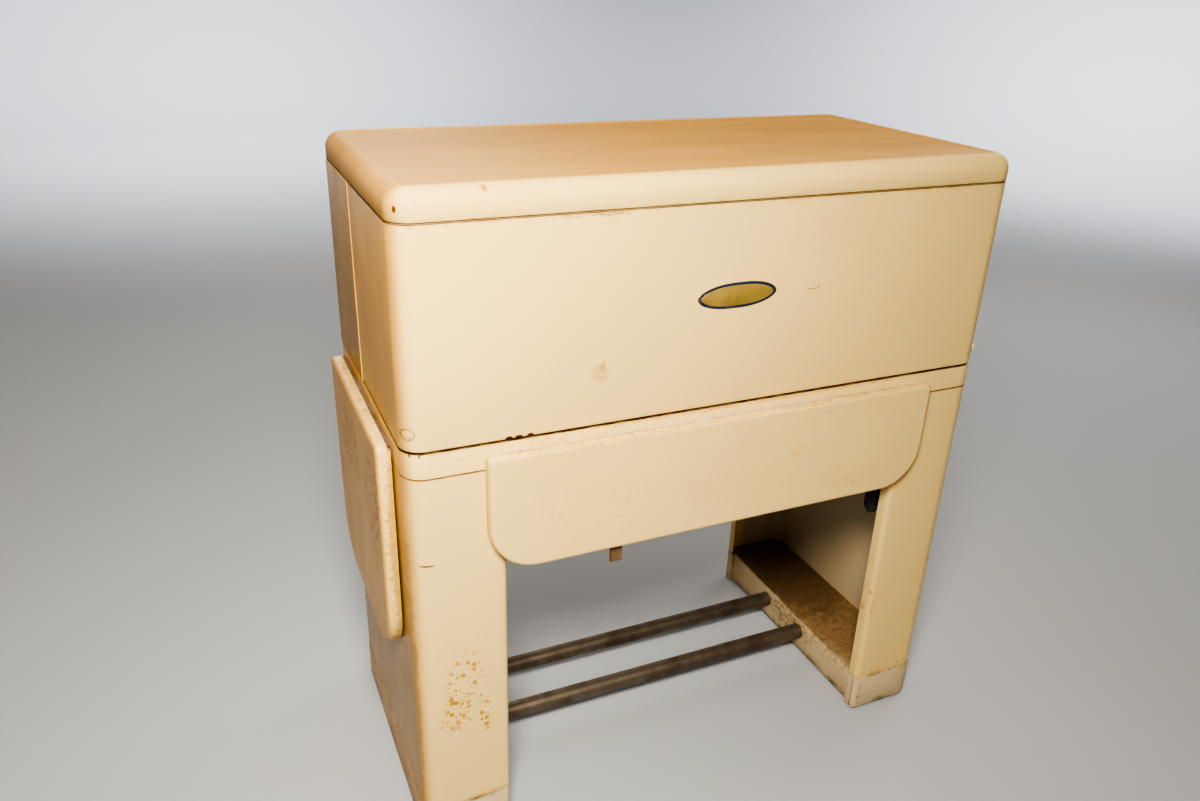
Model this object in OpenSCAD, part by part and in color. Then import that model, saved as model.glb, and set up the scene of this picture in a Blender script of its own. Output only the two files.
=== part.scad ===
// Cabinet rotary ironer: an enamelled steel cabinet with a knee space, two drop
// leaves, foot rails and a hinged hood over an open-ended roll and a heated shoe.
// Each module is one sub-part, drawn in cabinet coordinates: x from the left side,
// y from the front face towards the back, z up from the floor.

/* [Cabinet] */
// Width of the cabinet across the front
body_w = 845; // [843:1:860]
// Depth of the cabinet
body_d = 416; // [414:1:424]
// Height of the table top above the floor
body_h = 914; // [912:1:920]
// Plan radius of the cabinet's vertical corners
corner_r = 28; // [26:1:30]
// Thickness of the sheet steel casings
sheet_t = 1.5; // [1.2:0.1:1.6]

/* [Legs and base] */
// Height of the base channels above the floor
base_h = 66; // [60:1:72]
// Width of a leg's front and rear faces
leg_w = 122; // [120:1:126]
// Depth of the return flange on a leg's inner edge
leg_flange = 20; // [16:1:22]
// Height of the seam between the legs and the rim
rim_z = 580; // [578:1:581]
// How far the base channels stand out from the legs
plinth_proud = 1; // [0.5:0.1:1.5]

/* [Foot rails] */
// Outside diameter of the two foot rails
rail_d = 26.7; // [24:0.1:28]
// Height of the rails' centres
rail_z = 39; // [34:1:44]
// Distance of the front rail from the front face
front_rail_y = 171; // [160:1:180]
// Distance of the rear rail from the front face
rear_rail_y = 274; // [264:1:290]

/* [Hood] */
// Height of the seam under the hood
hood_z = 615; // [614.5:0.5:616]
// Height of the seam under the top cap
cap_z = 878; // [877:1:880]
// Radius of the cap's rolled edge
cap_roll_r = 21; // [19:0.5:22]
// Depth of the table top's recessed field
field_step = 1.6; // [1:0.1:2]
// Distance from the front face to the hood's side seam
side_seam_y = 232; // [228:1:236]

/* [Drop leaves] */
// Width of the front leaf
front_leaf_w = 654; // [644:2:660]
// Height of the front leaf as it hangs
front_leaf_h = 160; // [154:1:164]
// Thickness of the front leaf
front_leaf_t = 15.2; // [14.4:0.2:16]
// Width of the side leaf, along the cabinet's depth
side_leaf_w = 316; // [306:2:320]
// Height of the side leaf as it hangs
side_leaf_h = 317; // [312:1:320]
// Thickness of the side leaf
side_leaf_t = 18.6; // [16.8:0.2:19]
// Radius of the front leaf's free corners
front_leaf_r = 63; // [56:1:68]
// Radius of the side leaf's free corners
side_leaf_r = 75; // [66:1:80]

/* [Roll and shoe] */
// Outside diameter of the covered roll
roll_d = 168; // [164:1:168]
// Length of the roll's padded part
roll_len = 660; // [650:2:662]
// Distance of the roll's axis from the front face
roll_y = 170; // [169:1:171]
// Height of the roll's axis
roll_z = 740; // [738:1:744]
// Angle that the shoe stands back from the roll at rest
shoe_open = 5; // [4:0.25:5]

/* [Hidden] */
$fn = 96;
fit = 0.05;                          // radial clearance of a shaft in its hole
seam = 1.2;                          // width of the shadow gaps between casings
glide_h = 4;                         // height of the floor glides' feet
leg_bend_r = 8;                      // bend radius at a leg's inner edge
channel_w = leg_w - 6;               // distance of a base channel's inner wall from the side
rim_top = hood_z - 2;                // top of the rim that the hood stands on
lap = 100;                           // how far the rim's lapping strip reaches along the front
lip_w = 12;                          // width of the ledge round the top of the rim
hem_w = 10;                          // width of the hood's lower hem
wing_proud = 1;                      // how far the fixed rear casing stands out from the hood
lap_y = side_seam_y - 18;            // rear end of the hood's hem
hinge_off = 3.7;                     // distance of each leaf's hinge axis from the cabinet
leaf_gap = 2.8;                      // gap behind a hanging leaf
leaf_in = hinge_off - leaf_gap;      // inner face of a leaf, measured from its hinge axis
leaf_axis_z = 600;                   // height of both leaves' hinge axes
leaf_rise = 2;                       // how far a hanging leaf reaches above its hinge axis
knuckle_r = 2.2;
pin_r = 1.2;
hinge_t = 1.2;                       // thickness of the hinge plates
plate_drop = 3.2;                    // distance of a leaf's hinge plates below the axis
rebate_z = 3.6;                      // depth of the rebate round a leaf's hinge
rebate_y = 2.6;                      // distance of the rebate's front from the hinge axis
leaf_top_r = 9;                      // radius of the leaves' upper corners
hood_hinge_off = wing_proud + 3.7;   // distance of the hood's hinge axis behind the cap
hood_knuckle_r = 3.4;
hood_pin_r = 1.8;
hood_hinge_x = [110, body_w - 230];
hood_hinge_len = 120;
front_leaf_x = (body_w - front_leaf_w) / 2;
side_leaf_y = 56;
hinge_inset = 10;                    // distance of the hinges' ends from the leaves' edges
brace_w = 16;
brace_t = 4;
brace_y = -2.5;                      // plane of a brace, measured from the leaf's hinge axis
brace_eye_r = 4.5;
brace_pin_r = 2;
brace_pin_len = 46;
front_brace_a = 76;                  // distance of the brace's pivot below the hinge axis
front_brace_len = 107;
front_brace_x = 268 - front_leaf_x;
side_brace_a = 122;
side_brace_len = 168;
front_foot = front_brace_a + front_brace_len + 8;   // lower ends of the braces' slots
side_foot = side_brace_a + side_brace_len + 8;
apron_z = 470;
rear_apron_z = 320;
apron_in = 2.5;                      // how far the aprons stand in from the faces
deck_z = leaf_axis_z;
deck_t = 2;
rail_h = 22;                         // height and width of the cross rails under the deck
rail_w = 30;
roll_x = 44;
roll_r = roll_d / 2;
cover_t = 2;
pad_t = 12;
drum_r = roll_r - cover_t - pad_t;
drum_t = 2;
shaft_r = 12.5;
case_pos = [718, roll_y - 76, deck_z + deck_t];
case_size = [102, 152, 210];
case_wall = 6;
case_end = case_pos.x + case_size.x;
lid_t = 4;
boss_len = 12;
wheel_x = case_pos.x + 50;
wheel_w = 20;
wheel_teeth = 48;
wheel_r = 58.5;
tooth_h = 5;
worm_r = 16;
worm_z = roll_z - wheel_r - worm_r - 0.5;
worm_shaft_r = 8;
belt_y = 361;
belt_w = 8;
belt_t = 5;
big_pulley_r = 52;
small_pulley_r = 24;
groove_d = 6;
motor_pos = [775, 455];              // x and z of the motor's axis
motor_r = 48;
motor_y = [215, 335];
motor_shaft_r = 6;
shoe_pivot = [250, 548];             // y and z of the shoe's pivot
shoe_arc = [-46, 54];                // the shoe's first and last angle round the roll
shoe_x = 52;
shoe_len = 644;
shoe_gap = 0.7;                      // gap between the closed shoe and the roll
shoe_t = 6;
plate_r = roll_r + shoe_gap + shoe_t;
shoe_back_r = roll_r + 36;
arm_x = [130, 600];
arm_t = 10;
pivot_r = 8;
block_x = [104, 624];
block_w = 12;
bar_pivot = [62, 622];               // y and z of the press bar's pivot
bar_r = 5;
bar_pos = [40, 652];
bar_x = [96, 690];
knee_pos = [737, 560];               // x and z of the knee lever's pivot
knee_ears = [28, 50];                // y of the two ears that carry it
knee_pad_z = 412;
panel_pos = [726, 58, deck_z + deck_t];
panel_size = [92, 32, 92];
panel_t = 1.2;
knob_pos = [800, 668];               // x and z of the thermostat knob
switch_x = [742, 768];
switch_z = 668;
lamp_z = 630;
bushing_pos = [790, 530];            // x and z of the cord bushing in the leg's rear face
bushing_r = 9;
rear_out = hood_hinge_off + hood_knuckle_r;
front_out = leaf_gap + front_leaf_t;
side_out = leaf_gap + side_leaf_t;
cab_x = -(body_w + plinth_proud - side_out) / 2;   // sets the origin under the middle of
cab_y = -(body_d + rear_out - front_out) / 2;      // the whole object's outline

// ---- shared shapes -------------------------------------------------------------

module place() { translate([cab_x, cab_y, 0]) children(); }

// The same shape on the other side of the cabinet.
module other_side() { translate([body_w, 0, 0]) mirror([1, 0, 0]) children(); }

module both_sides() {
    children();
    other_side() children();
}

module round_rect(w, d, r) {
    translate([r, 0]) square([w - 2 * r, d]);
    translate([0, r]) square([w, d - 2 * r]);
    for (x = [r, w - r], y = [r, d - r]) translate([x, y]) circle(r);
}

// The cabinet's outline seen from above, moved out by a distance.
module plan(out = 0) {
    translate([-out, -out]) round_rect(body_w + 2 * out, body_d + 2 * out, corner_r + out);
}

// A strip of the outline, from one distance outside it inwards.
module plan_ring(out, width) {
    difference() {
        plan(out);
        plan(out - width);
    }
}

// A cylinder along x, and one along y, each from its start point.
module rod_x(r, h) { rotate([0, 90, 0]) cylinder(r = r, h = h); }

module rod_y(r, h) { rotate([-90, 0, 0]) cylinder(r = r, h = h); }

// Extrudes along x an outline drawn in y and z.
module extrude_x(h) { rotate([90, 0, 90]) linear_extrude(h) children(); }

// Part of a flat ring between two angles.
module sector(r0, r1, a0, a1) {
    mid = (a0 + a1) / 2;
    reach = 2 * r1;
    intersection() {
        difference() {
            circle(r1);
            circle(r0);
        }
        polygon([
            [0, 0],
            reach * [cos(a0), sin(a0)],
            reach * [cos(mid), sin(mid)],
            reach * [cos(a1), sin(a1)]
        ]);
    }
}

// ---- hinges ------------------------------------------------------------------
// A hinge's axis lies along x from the origin. Its plate's back is the plane y = off, and the
// plate lies above the axis when drop is negative. Every second knuckle is this half's.

module hinge_half(len, n, r, bore, off, drop, plate_h, first) {
    step = len / n;
    clear = 0.2;
    web_y = min(hinge_t, off - hinge_t);
    translate([0, off - hinge_t, drop > 0 ? -drop - plate_h : -drop])
        cube([len, hinge_t, plate_h]);
    difference() {
        for (k = [first:2:n - 1]) translate([k * step + clear, 0, 0]) {
            rod_x(r, step - 2 * clear);
            translate([0, web_y, drop > 0 ? -drop : 0]) cube([step - 2 * clear, off - web_y, abs(drop)]);
        }
        translate([-1, 0, 0]) rod_x(bore, len + 2);
    }
}

module at_hood_hinges() {
    for (x = hood_hinge_x) translate([x + hood_hinge_len, body_d + hood_hinge_off, cap_z])
        rotate([0, 0, 180]) children();
}

// Drop leaves are drawn hanging from an axis along x, with the cabinet towards +y.
module at_front_leaf() { translate([front_leaf_x, -hinge_off, leaf_axis_z]) children(); }

module at_side_leaf() {
    translate([-hinge_off, side_leaf_y + side_leaf_w, leaf_axis_z]) rotate([0, 0, -90]) children();
}

// ---- base ----------------------------------------------------------------------

module channel_plan(shrink) {
    far = 9;
    intersection() {
        plan(plinth_proud - shrink);
        union() {
            translate([-far, -far]) square([channel_w - shrink + far, body_d + 2 * far]);
            for (y = [-far, body_d - leg_flange + shrink])
                translate([-far, y]) square([leg_w - shrink + far, leg_flange - shrink + far]);
        }
    }
}

module base_channel() {
    difference() {
        translate([0, 0, glide_h]) linear_extrude(base_h - glide_h) channel_plan(0);
        linear_extrude(base_h - sheet_t) channel_plan(sheet_t);
        for (y = [front_rail_y, rear_rail_y])
            translate([channel_w - 5, y, rail_z]) rod_x(rail_d / 2 + fit, 10);
    }
}

module left_base_channel() { color("wheat") base_channel(); }

module right_base_channel() { color("wheat") other_side() base_channel(); }

module floor_glides() {
    nut_h = 8;
    color("dimgray") both_sides() for (y = [48, body_d - 48]) translate([58, y, 0]) {
        cylinder(r = 17, h = glide_h);
        cylinder(r = 4, h = base_h - sheet_t);
        translate([0, 0, base_h - sheet_t - nut_h]) cylinder(r = 8, h = nut_h, $fn = 6);
    }
}

module foot_rail(y) {
    reach = 8;
    wall = 2.6;
    color("gray") translate([channel_w - reach, y, rail_z]) difference() {
        rod_x(rail_d / 2, body_w - 2 * (channel_w - reach));
        translate([-1, 0, 0]) rod_x(rail_d / 2 - wall, body_w);
    }
}

module front_foot_rail() { foot_rail(front_rail_y); }

module rear_foot_rail() { foot_rail(rear_rail_y); }

// The bent edge where a leg's front face turns back into its flange.
module leg_bend() {
    translate([leg_w - leg_bend_r, leg_bend_r]) intersection() {
        difference() {
            circle(leg_bend_r);
            circle(leg_bend_r - sheet_t);
        }
        translate([0, -leg_bend_r]) square(leg_bend_r);
    }
    translate([leg_w - sheet_t, leg_bend_r]) square([sheet_t, leg_flange - leg_bend_r]);
}

module leg_shell() {
    translate([0, 0, base_h]) linear_extrude(rim_z - seam / 2 - base_h) {
        intersection() {
            plan_ring(0, sheet_t);
            square([leg_w - leg_bend_r, body_d]);
        }
        leg_bend();
        translate([0, body_d]) mirror([0, 1]) leg_bend();
    }
}

module left_leg_shell() { color("moccasin") leg_shell(); }

module right_leg_shell() {
    color("moccasin") difference() {
        other_side() leg_shell();
        translate([bushing_pos.x, body_d - 10, bushing_pos.y]) rod_y(bushing_r, 20);
    }
}

// The band round the top of the base, with a ledge for the hood and strips behind the legs.
module base_rim() {
    lap_z = rim_z - 20;
    color("moccasin") {
        translate([0, 0, rim_z]) linear_extrude(rim_top - rim_z) plan_ring(0, sheet_t);
        translate([0, 0, rim_top - sheet_t]) linear_extrude(sheet_t) plan_ring(0, lip_w);
        translate([0, 0, lap_z]) linear_extrude(rim_top - lap_z) intersection() {
            plan_ring(-sheet_t, sheet_t);
            both_sides() square([lap, body_d]);
        }
    }
}

// A panel between the legs, with a stiffening flange turned in along its lower edge.
module apron(z) {
    flange = 16;
    translate([leg_w, 0, z]) cube([body_w - 2 * leg_w, sheet_t, rim_z - seam / 2 - z]);
    translate([leg_w, 0, z]) cube([body_w - 2 * leg_w, flange, sheet_t]);
}

module front_apron() { color("wheat") translate([0, apron_in, 0]) apron(apron_z); }

module rear_apron() {
    color("wheat") translate([0, body_d - apron_in, 0]) mirror([0, 1, 0]) apron(rear_apron_z);
}

// Rails under the deck; the front one carries the knee lever between two ears.
module cross_rails() {
    x0 = 7;                              // clear of the rim's lapping strip
    ear_t = 3;
    ear_w = 20;
    color("slategray") {
        for (y = [22, body_d - rail_w - 16]) translate([x0, y, deck_z - rail_h]) difference() {
            cube([body_w - 2 * x0, rail_w, rail_h]);
            translate([-1, 2, -2]) cube([body_w, rail_w - 4, rail_h]);
        }
        for (y = knee_ears) difference() {
            translate([knee_pos.x - ear_w / 2, y, knee_pos.y - 10])
                cube([ear_w, ear_t, deck_z - 2 - knee_pos.y + 10]);
            translate([knee_pos.x, y - 1, knee_pos.y]) rod_y(3 + fit, ear_t + 2);
        }
    }
}

module work_deck() {
    color("gainsboro") translate([0, 0, deck_z]) linear_extrude(deck_t) difference() {
        plan(-2 * sheet_t);
        for (x = arm_x) translate([x - 8, 205]) square([arm_t + 16, 130]);
        translate([motor_pos.x - 65, belt_y - 14]) square([120, 28]);
    }
}

// ---- hood ----------------------------------------------------------------------

// The fixed casing behind the shoe: the back panel with a wing at each side.
module hood_back() {
    skin_z = hood_z - 0.8;
    skin_h = cap_z - seam / 2 - skin_z;
    wing_y = side_seam_y + seam;
    inner = sheet_t - wing_proud;
    strip_x = sheet_t + 0.4;
    color("moccasin") {
        translate([0, 0, skin_z]) linear_extrude(skin_h) intersection() {
            plan_ring(wing_proud, sheet_t);
            translate([-wing_proud, wing_y]) square([body_w + 2 * wing_proud, body_d]);
        }
        translate([0, 0, rim_top]) linear_extrude(skin_z + sheet_t - rim_top) intersection() {
            plan_ring(0.1 - inner, hem_w);
            translate([0, wing_y]) square([body_w, body_d]);
        }
        both_sides() {
            translate([inner - 0.1, side_seam_y + 4, skin_z])
                cube([strip_x + sheet_t - inner + 0.1, 9, skin_h]);
            translate([strip_x, lap_y + 4, skin_z + 3]) cube([sheet_t, 20, skin_h - 3]);
        }
    }
}

module hood_bumpers() {
    color("dimgray") both_sides() for (p = [[7, 60], [7, 190], [120, 7]])
        translate([p.x, p.y, rim_top]) cylinder(r = 4.5, h = hood_z - rim_top - 0.3);
}

// A rod through a front corner of the hood, between two distances from the corner's centre.
module button_stud(r0, r1, r) {
    translate([corner_r, corner_r, hood_z + 23]) rotate([0, 0, -135]) translate([r0, 0, 0])
        rod_x(r, r1 - r0);
}

// The lifting front of the hood: one sheet wrapped round both front corners.
module hood_front() {
    color("papayawhip") difference() {
        translate([0, 0, hood_z]) {
            linear_extrude(cap_z - seam / 2 - hood_z) intersection() {
                plan_ring(0, sheet_t);
                square([body_w, side_seam_y]);
            }
            linear_extrude(sheet_t) intersection() {
                plan_ring(0, hem_w);
                square([body_w, lap_y]);
            }
        }
        both_sides() button_stud(corner_r - 6, corner_r + 4, 3);
    }
}

// One edge of the cap in section: the skirt, the rolled edge and the step to the field.
module cap_section() {
    top = body_h - cap_z - seam / 2;
    land = cap_roll_r + 2;
    square([sheet_t, top - cap_roll_r]);
    translate([cap_roll_r, top - cap_roll_r]) intersection() {
        difference() {
            circle(cap_roll_r);
            circle(cap_roll_r - sheet_t);
        }
        translate([-cap_roll_r, 0]) square(cap_roll_r);
    }
    translate([cap_roll_r, top - sheet_t]) square([2, sheet_t]);
    translate([land - sheet_t, top - sheet_t - field_step]) square([sheet_t, field_step + sheet_t]);
}

module cap_edge(len) { extrude_x(len) cap_section(); }

module cap_corner() {
    translate([corner_r, corner_r, 0]) rotate([0, 0, 180]) rotate_extrude(angle = 90)
        translate([corner_r, 0]) mirror([1, 0]) cap_section();
}

module top_cap() {
    in = cap_roll_r + 2 - sheet_t;
    color("burlywood") translate([0, 0, cap_z + seam / 2]) {
        for (m = [0, 1]) translate([0, m * body_d, 0]) mirror([0, m, 0]) {
            translate([corner_r, 0, 0]) cap_edge(body_w - 2 * corner_r);
            both_sides() cap_corner();
        }
        both_sides() translate([0, body_d - corner_r, 0]) rotate([0, 0, -90])
            cap_edge(body_d - 2 * corner_r);
        translate([in, in, body_h - cap_z - seam / 2 - sheet_t - field_step])
            linear_extrude(sheet_t) round_rect(body_w - 2 * in, body_d - 2 * in, corner_r - in);
    }
}

// The strip that joins the hood's front to the cap, and two stiffeners under the cap.
module hood_frame() {
    stiff_h = 9;
    wall = 1.5;
    z = body_h - field_step - sheet_t - stiff_h;
    color("wheat") {
        translate([0, 0, cap_z - 16]) linear_extrude(30) intersection() {
            plan_ring(-sheet_t, sheet_t);
            square([body_w, lap_y]);
        }
        for (x = [210, body_w - 240]) translate([x, 40, z]) difference() {
            cube([rail_w, body_d - 80, stiff_h]);
            translate([wall, -1, -wall]) cube([rail_w - 2 * wall, body_d, stiff_h]);
        }
    }
}

module hood_buttons() {
    color("oldlace") both_sides() {
        button_stud(corner_r - 4, corner_r + 1, 3);
        button_stud(corner_r, corner_r + 1.4, 5.5);
        button_stud(corner_r + 1, corner_r + 2, 3.8);
    }
}

module hood_badge() {
    half = 45;
    r = 18;
    color("goldenrod") translate([body_w / 2, 0, 762]) rotate([90, 0, 0]) linear_extrude(0.8) {
        square([2 * half, 2 * r], center = true);
        for (s = [-1, 1]) translate([s * half, 0]) circle(r);
    }
}

module hood_hinges_fixed() {
    off = hood_hinge_off - wing_proud;
    color("silver") at_hood_hinges()
        hinge_half(hood_hinge_len, 5, hood_knuckle_r, hood_pin_r + fit, off, 4.5, 30, 0);
}

module hood_hinges_moving() {
    color("silver") at_hood_hinges()
        hinge_half(hood_hinge_len, 5, hood_knuckle_r, hood_pin_r + fit, hood_hinge_off, -4.5, 9, 1);
}

// ---- drop leaves -----------------------------------------------------------------

// A leaf's solid outline, drawn in from its edges, from its inner face towards the outside.
module leaf_slab(w, h, t, r, inset) {
    low = leaf_rise - h + inset;
    high = leaf_rise - inset;
    corner = r - inset;
    top = leaf_top_r - inset;
    translate([0, leaf_in, 0]) rotate([90, 0, 0]) linear_extrude(t - inset) {
        translate([r, low]) square([w - 2 * r, high - low - top]);
        translate([inset, low + corner]) square([w - 2 * inset, high - low - corner - top]);
        translate([leaf_top_r, low + corner]) square([w - 2 * leaf_top_r, high - low - corner]);
        for (x = [r, w - r]) translate([x, low + corner]) circle(corner);
        for (x = [leaf_top_r, w - leaf_top_r]) translate([x, high - top]) circle(top);
    }
}

// What the hinge and the folded brace take out of a leaf's back.
module leaf_cuts(w, x, a, foot) {
    slot_w = brace_w + 4;
    deep = 20;
    translate([-1, -rebate_y, -rebate_z]) cube([w + 2, deep, deep]);
    translate([hinge_inset - 1, leaf_in - hinge_t, -rebate_z - 20])
        cube([w - 2 * hinge_inset + 2, deep, 21]);
    translate([x - slot_w / 2, brace_y - brace_t / 2 - 0.4, -foot]) cube([slot_w, deep, foot - a]);
    translate([x - slot_w / 2, brace_y - brace_eye_r - 0.6, -a - 6]) cube([slot_w, deep, 15]);
}

// The pressed metal tray that covers a leaf's outside and edges.
module leaf_skin(w, h, t, r, x, a, foot) {
    difference() {
        leaf_slab(w, h, t, r, 0);
        translate([0, 0.5, 0]) leaf_slab(w, h, t + 0.5, r, sheet_t);
        leaf_cuts(w, x, a, foot);
    }
}

module leaf_core(w, h, t, r, x, a, foot) {
    difference() {
        leaf_slab(w, h, t, r, sheet_t);
        leaf_cuts(w, x, a, foot);
        translate([x - brace_pin_len / 2 - 1, brace_y, -a])
            rod_x(brace_pin_r + fit, brace_pin_len + 2);
    }
}

// The folding strut, with its pivot pin fixed in its eye.
module leaf_brace(x, a, len) {
    translate([x, brace_y, -a]) {
        translate([-brace_w / 2, 0, 0]) rod_x(brace_eye_r, brace_w);
        translate([-brace_pin_len / 2, 0, 0]) rod_x(brace_pin_r, brace_pin_len);
        translate([-brace_w / 2, -brace_t / 2, -len]) cube([brace_w, brace_t, len]);
        translate([-brace_w / 2, 0, -len]) rod_x(brace_t / 2, brace_w);
    }
}

module leaf_hinge_fixed(w, n) {
    translate([hinge_inset, 0, 0])
        hinge_half(w - 2 * hinge_inset, n, knuckle_r, pin_r + fit, hinge_off, plate_drop, 15, 0);
}

module leaf_hinge_moving(w, n) {
    translate([hinge_inset, 0, 0])
        hinge_half(w - 2 * hinge_inset, n, knuckle_r, pin_r + fit, leaf_in, rebate_z, 18, 1);
}

module front_leaf_skin() {
    color("papayawhip") at_front_leaf()
        leaf_skin(front_leaf_w, front_leaf_h, front_leaf_t, front_leaf_r, front_brace_x,
            front_brace_a, front_foot);
}

module front_leaf_core() {
    color("peru") at_front_leaf()
        leaf_core(front_leaf_w, front_leaf_h, front_leaf_t, front_leaf_r, front_brace_x,
            front_brace_a, front_foot);
}

module front_hinge_fixed() { color("silver") at_front_leaf() leaf_hinge_fixed(front_leaf_w, 13); }

module front_hinge_moving() { color("silver") at_front_leaf() leaf_hinge_moving(front_leaf_w, 13); }

module front_leaf_brace() {
    color("tan") at_front_leaf() leaf_brace(front_brace_x, front_brace_a, front_brace_len);
}

module side_leaf_skin() {
    color("papayawhip") at_side_leaf()
        leaf_skin(side_leaf_w, side_leaf_h, side_leaf_t, side_leaf_r, side_leaf_w / 2,
            side_brace_a, side_foot);
}

module side_leaf_core() {
    color("peru") at_side_leaf()
        leaf_core(side_leaf_w, side_leaf_h, side_leaf_t, side_leaf_r, side_leaf_w / 2,
            side_brace_a, side_foot);
}

module side_hinge_fixed() { color("silver") at_side_leaf() leaf_hinge_fixed(side_leaf_w, 7); }

module side_hinge_moving() { color("silver") at_side_leaf() leaf_hinge_moving(side_leaf_w, 7); }

module side_leaf_brace() {
    color("tan") at_side_leaf() leaf_brace(side_leaf_w / 2, side_brace_a, side_brace_len);
}

module hinge_pins() {
    color("gray") {
        at_hood_hinges() rod_x(hood_pin_r, hood_hinge_len);
        at_front_leaf() translate([hinge_inset, 0, 0]) rod_x(pin_r, front_leaf_w - 2 * hinge_inset);
        at_side_leaf() translate([hinge_inset, 0, 0]) rod_x(pin_r, side_leaf_w - 2 * hinge_inset);
    }
}

// ---- roll and drive --------------------------------------------------------------

module at_roll(x) { translate([x, roll_y, roll_z]) children(); }

module tube_x(r0, r1, h) {
    difference() {
        rod_x(r1, h);
        translate([-1, 0, 0]) rod_x(r0, h + 2);
    }
}

module roll_shaft() {
    start = roll_x + 4;
    color("silver") at_roll(start) rod_x(shaft_r, case_end + lid_t - 1 - start);
}

module roll_drum() {
    disc_t = 4;
    color("lightgray") at_roll(roll_x) {
        tube_x(drum_r - drum_t, drum_r, roll_len);
        for (x = [6, roll_len - 6 - disc_t]) translate([x, 0, 0])
            tube_x(shaft_r, drum_r - drum_t + 0.1, disc_t);
    }
}

module roll_padding() { color("ivory") at_roll(roll_x) tube_x(drum_r, drum_r + pad_t, roll_len); }

// The cloth cover, turned in over the roll's open end.
module roll_cover() {
    tuck = 22;
    color("white") at_roll(roll_x) {
        tube_x(roll_r - cover_t, roll_r, roll_len);
        translate([-cover_t, 0, 0]) tube_x(drum_r - tuck, roll_r, cover_t);
    }
}

module gear_case() {
    in = [case_size.x, case_size.y - 2 * case_wall, case_size.z - 2 * case_wall];
    color("lightslategray") difference() {
        union() {
            difference() {
                translate(case_pos) cube(case_size);
                translate(case_pos + case_wall * [1, 1, 1]) cube(in);
            }
            at_roll(case_pos.x) rod_x(shaft_r + 9, boss_len);
            for (y = [case_pos.y, case_pos.y + case_size.y - boss_len])
                translate([wheel_x, y, worm_z]) rod_y(worm_shaft_r + 8, boss_len);
        }
        at_roll(case_pos.x - 1) rod_x(shaft_r + fit, boss_len + 2);
        translate([wheel_x, case_pos.y - 1, worm_z]) rod_y(worm_shaft_r + fit, case_size.y + 2);
    }
}

module gear_case_cover() {
    head_h = 4;
    color("slategray") difference() {
        union() {
            translate([case_end, case_pos.y, case_pos.z]) cube([lid_t, case_size.y, case_size.z]);
            at_roll(case_end - 8) rod_x(shaft_r + 9, 9);
            for (y = [12, case_size.y - 12], z = [12, case_size.z - 12])
                translate([case_end, case_pos.y + y, case_pos.z + z]) rod_x(5, lid_t + head_h);
        }
        at_roll(case_end - 9) rod_x(shaft_r + fit, lid_t + 10);
    }
}

module worm_wheel() {
    hub_r = 22;
    color("goldenrod") at_roll(wheel_x - wheel_w / 2) difference() {
        union() {
            extrude_x(wheel_w) {
                circle(wheel_r - tooth_h);
                for (k = [0:wheel_teeth - 1]) rotate(k * 360 / wheel_teeth) polygon([
                    [wheel_r - tooth_h - 1, -2.6],
                    [wheel_r, -1.2],
                    [wheel_r, 1.2],
                    [wheel_r - tooth_h - 1, 2.6]
                ]);
            }
            translate([-6, 0, 0]) rod_x(hub_r, wheel_w + 12);
        }
        translate([-7, 0, 0]) rod_x(shaft_r, wheel_w + 14);
    }
}

module worm_shaft() {
    turns = 9;
    pitch = 7.4;
    worm_y = roll_y - turns * pitch / 2;
    color("darkgray") translate([wheel_x, 0, worm_z]) {
        translate([0, case_pos.y + 1, 0]) rod_y(worm_shaft_r, belt_y + 10 - case_pos.y);
        translate([0, worm_y, 0]) rod_y(worm_r - tooth_h, turns * pitch);
        translate([0, worm_y, 0]) rotate([-90, 0, 0]) rotate_extrude() for (k = [0:turns - 1])
            polygon([
                [worm_r - tooth_h - 1, k * pitch + 0.4],
                [worm_r, k * pitch + 2.4],
                [worm_r, k * pitch + 5],
                [worm_r - tooth_h - 1, k * pitch + 7]
            ]);
    }
}

// A grooved pulley along y, centred on the belt.
module pulley(r, bore) {
    half = 7;
    groove = belt_w / 2 + 0.5;
    rotate([-90, 0, 0]) rotate_extrude() difference() {
        translate([bore, -half]) square([r - bore, 2 * half]);
        translate([r - groove_d, -groove]) square([groove_d + 1, 2 * groove]);
    }
}

module driven_pulley() {
    color("dimgray") translate([wheel_x, belt_y, worm_z]) pulley(big_pulley_r, worm_shaft_r);
}

module motor_pulley() {
    color("dimgray") translate([motor_pos.x, belt_y, motor_pos.y]) pulley(small_pulley_r, motor_shaft_r);
}

module belt_loop(r) {
    hull() {
        translate([wheel_x, worm_z]) circle(big_pulley_r - groove_d + r);
        translate([motor_pos.x, motor_pos.y]) circle(small_pulley_r - groove_d + r);
    }
}

module drive_belt() {
    rest = 0.4;
    color("black") translate([0, belt_y + belt_w / 2, 0]) rotate([90, 0, 0]) linear_extrude(belt_w)
        difference() {
            belt_loop(rest + belt_t);
            belt_loop(rest);
        }
}

module motor_housing() {
    wall = 4;
    bell = 5;
    len = motor_y[1] - motor_y[0];
    color("darkslategray") translate([motor_pos.x, motor_y[0], motor_pos.y]) difference() {
        union() {
            rod_y(motor_r, len);
            translate([0, len, 0]) rod_y(18, 6);
        }
        translate([0, bell, 0]) rod_y(motor_r - wall, len - 2 * bell);
        translate([0, len - bell - 1, 0]) rod_y(motor_shaft_r + fit, bell + 8);
    }
}

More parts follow.
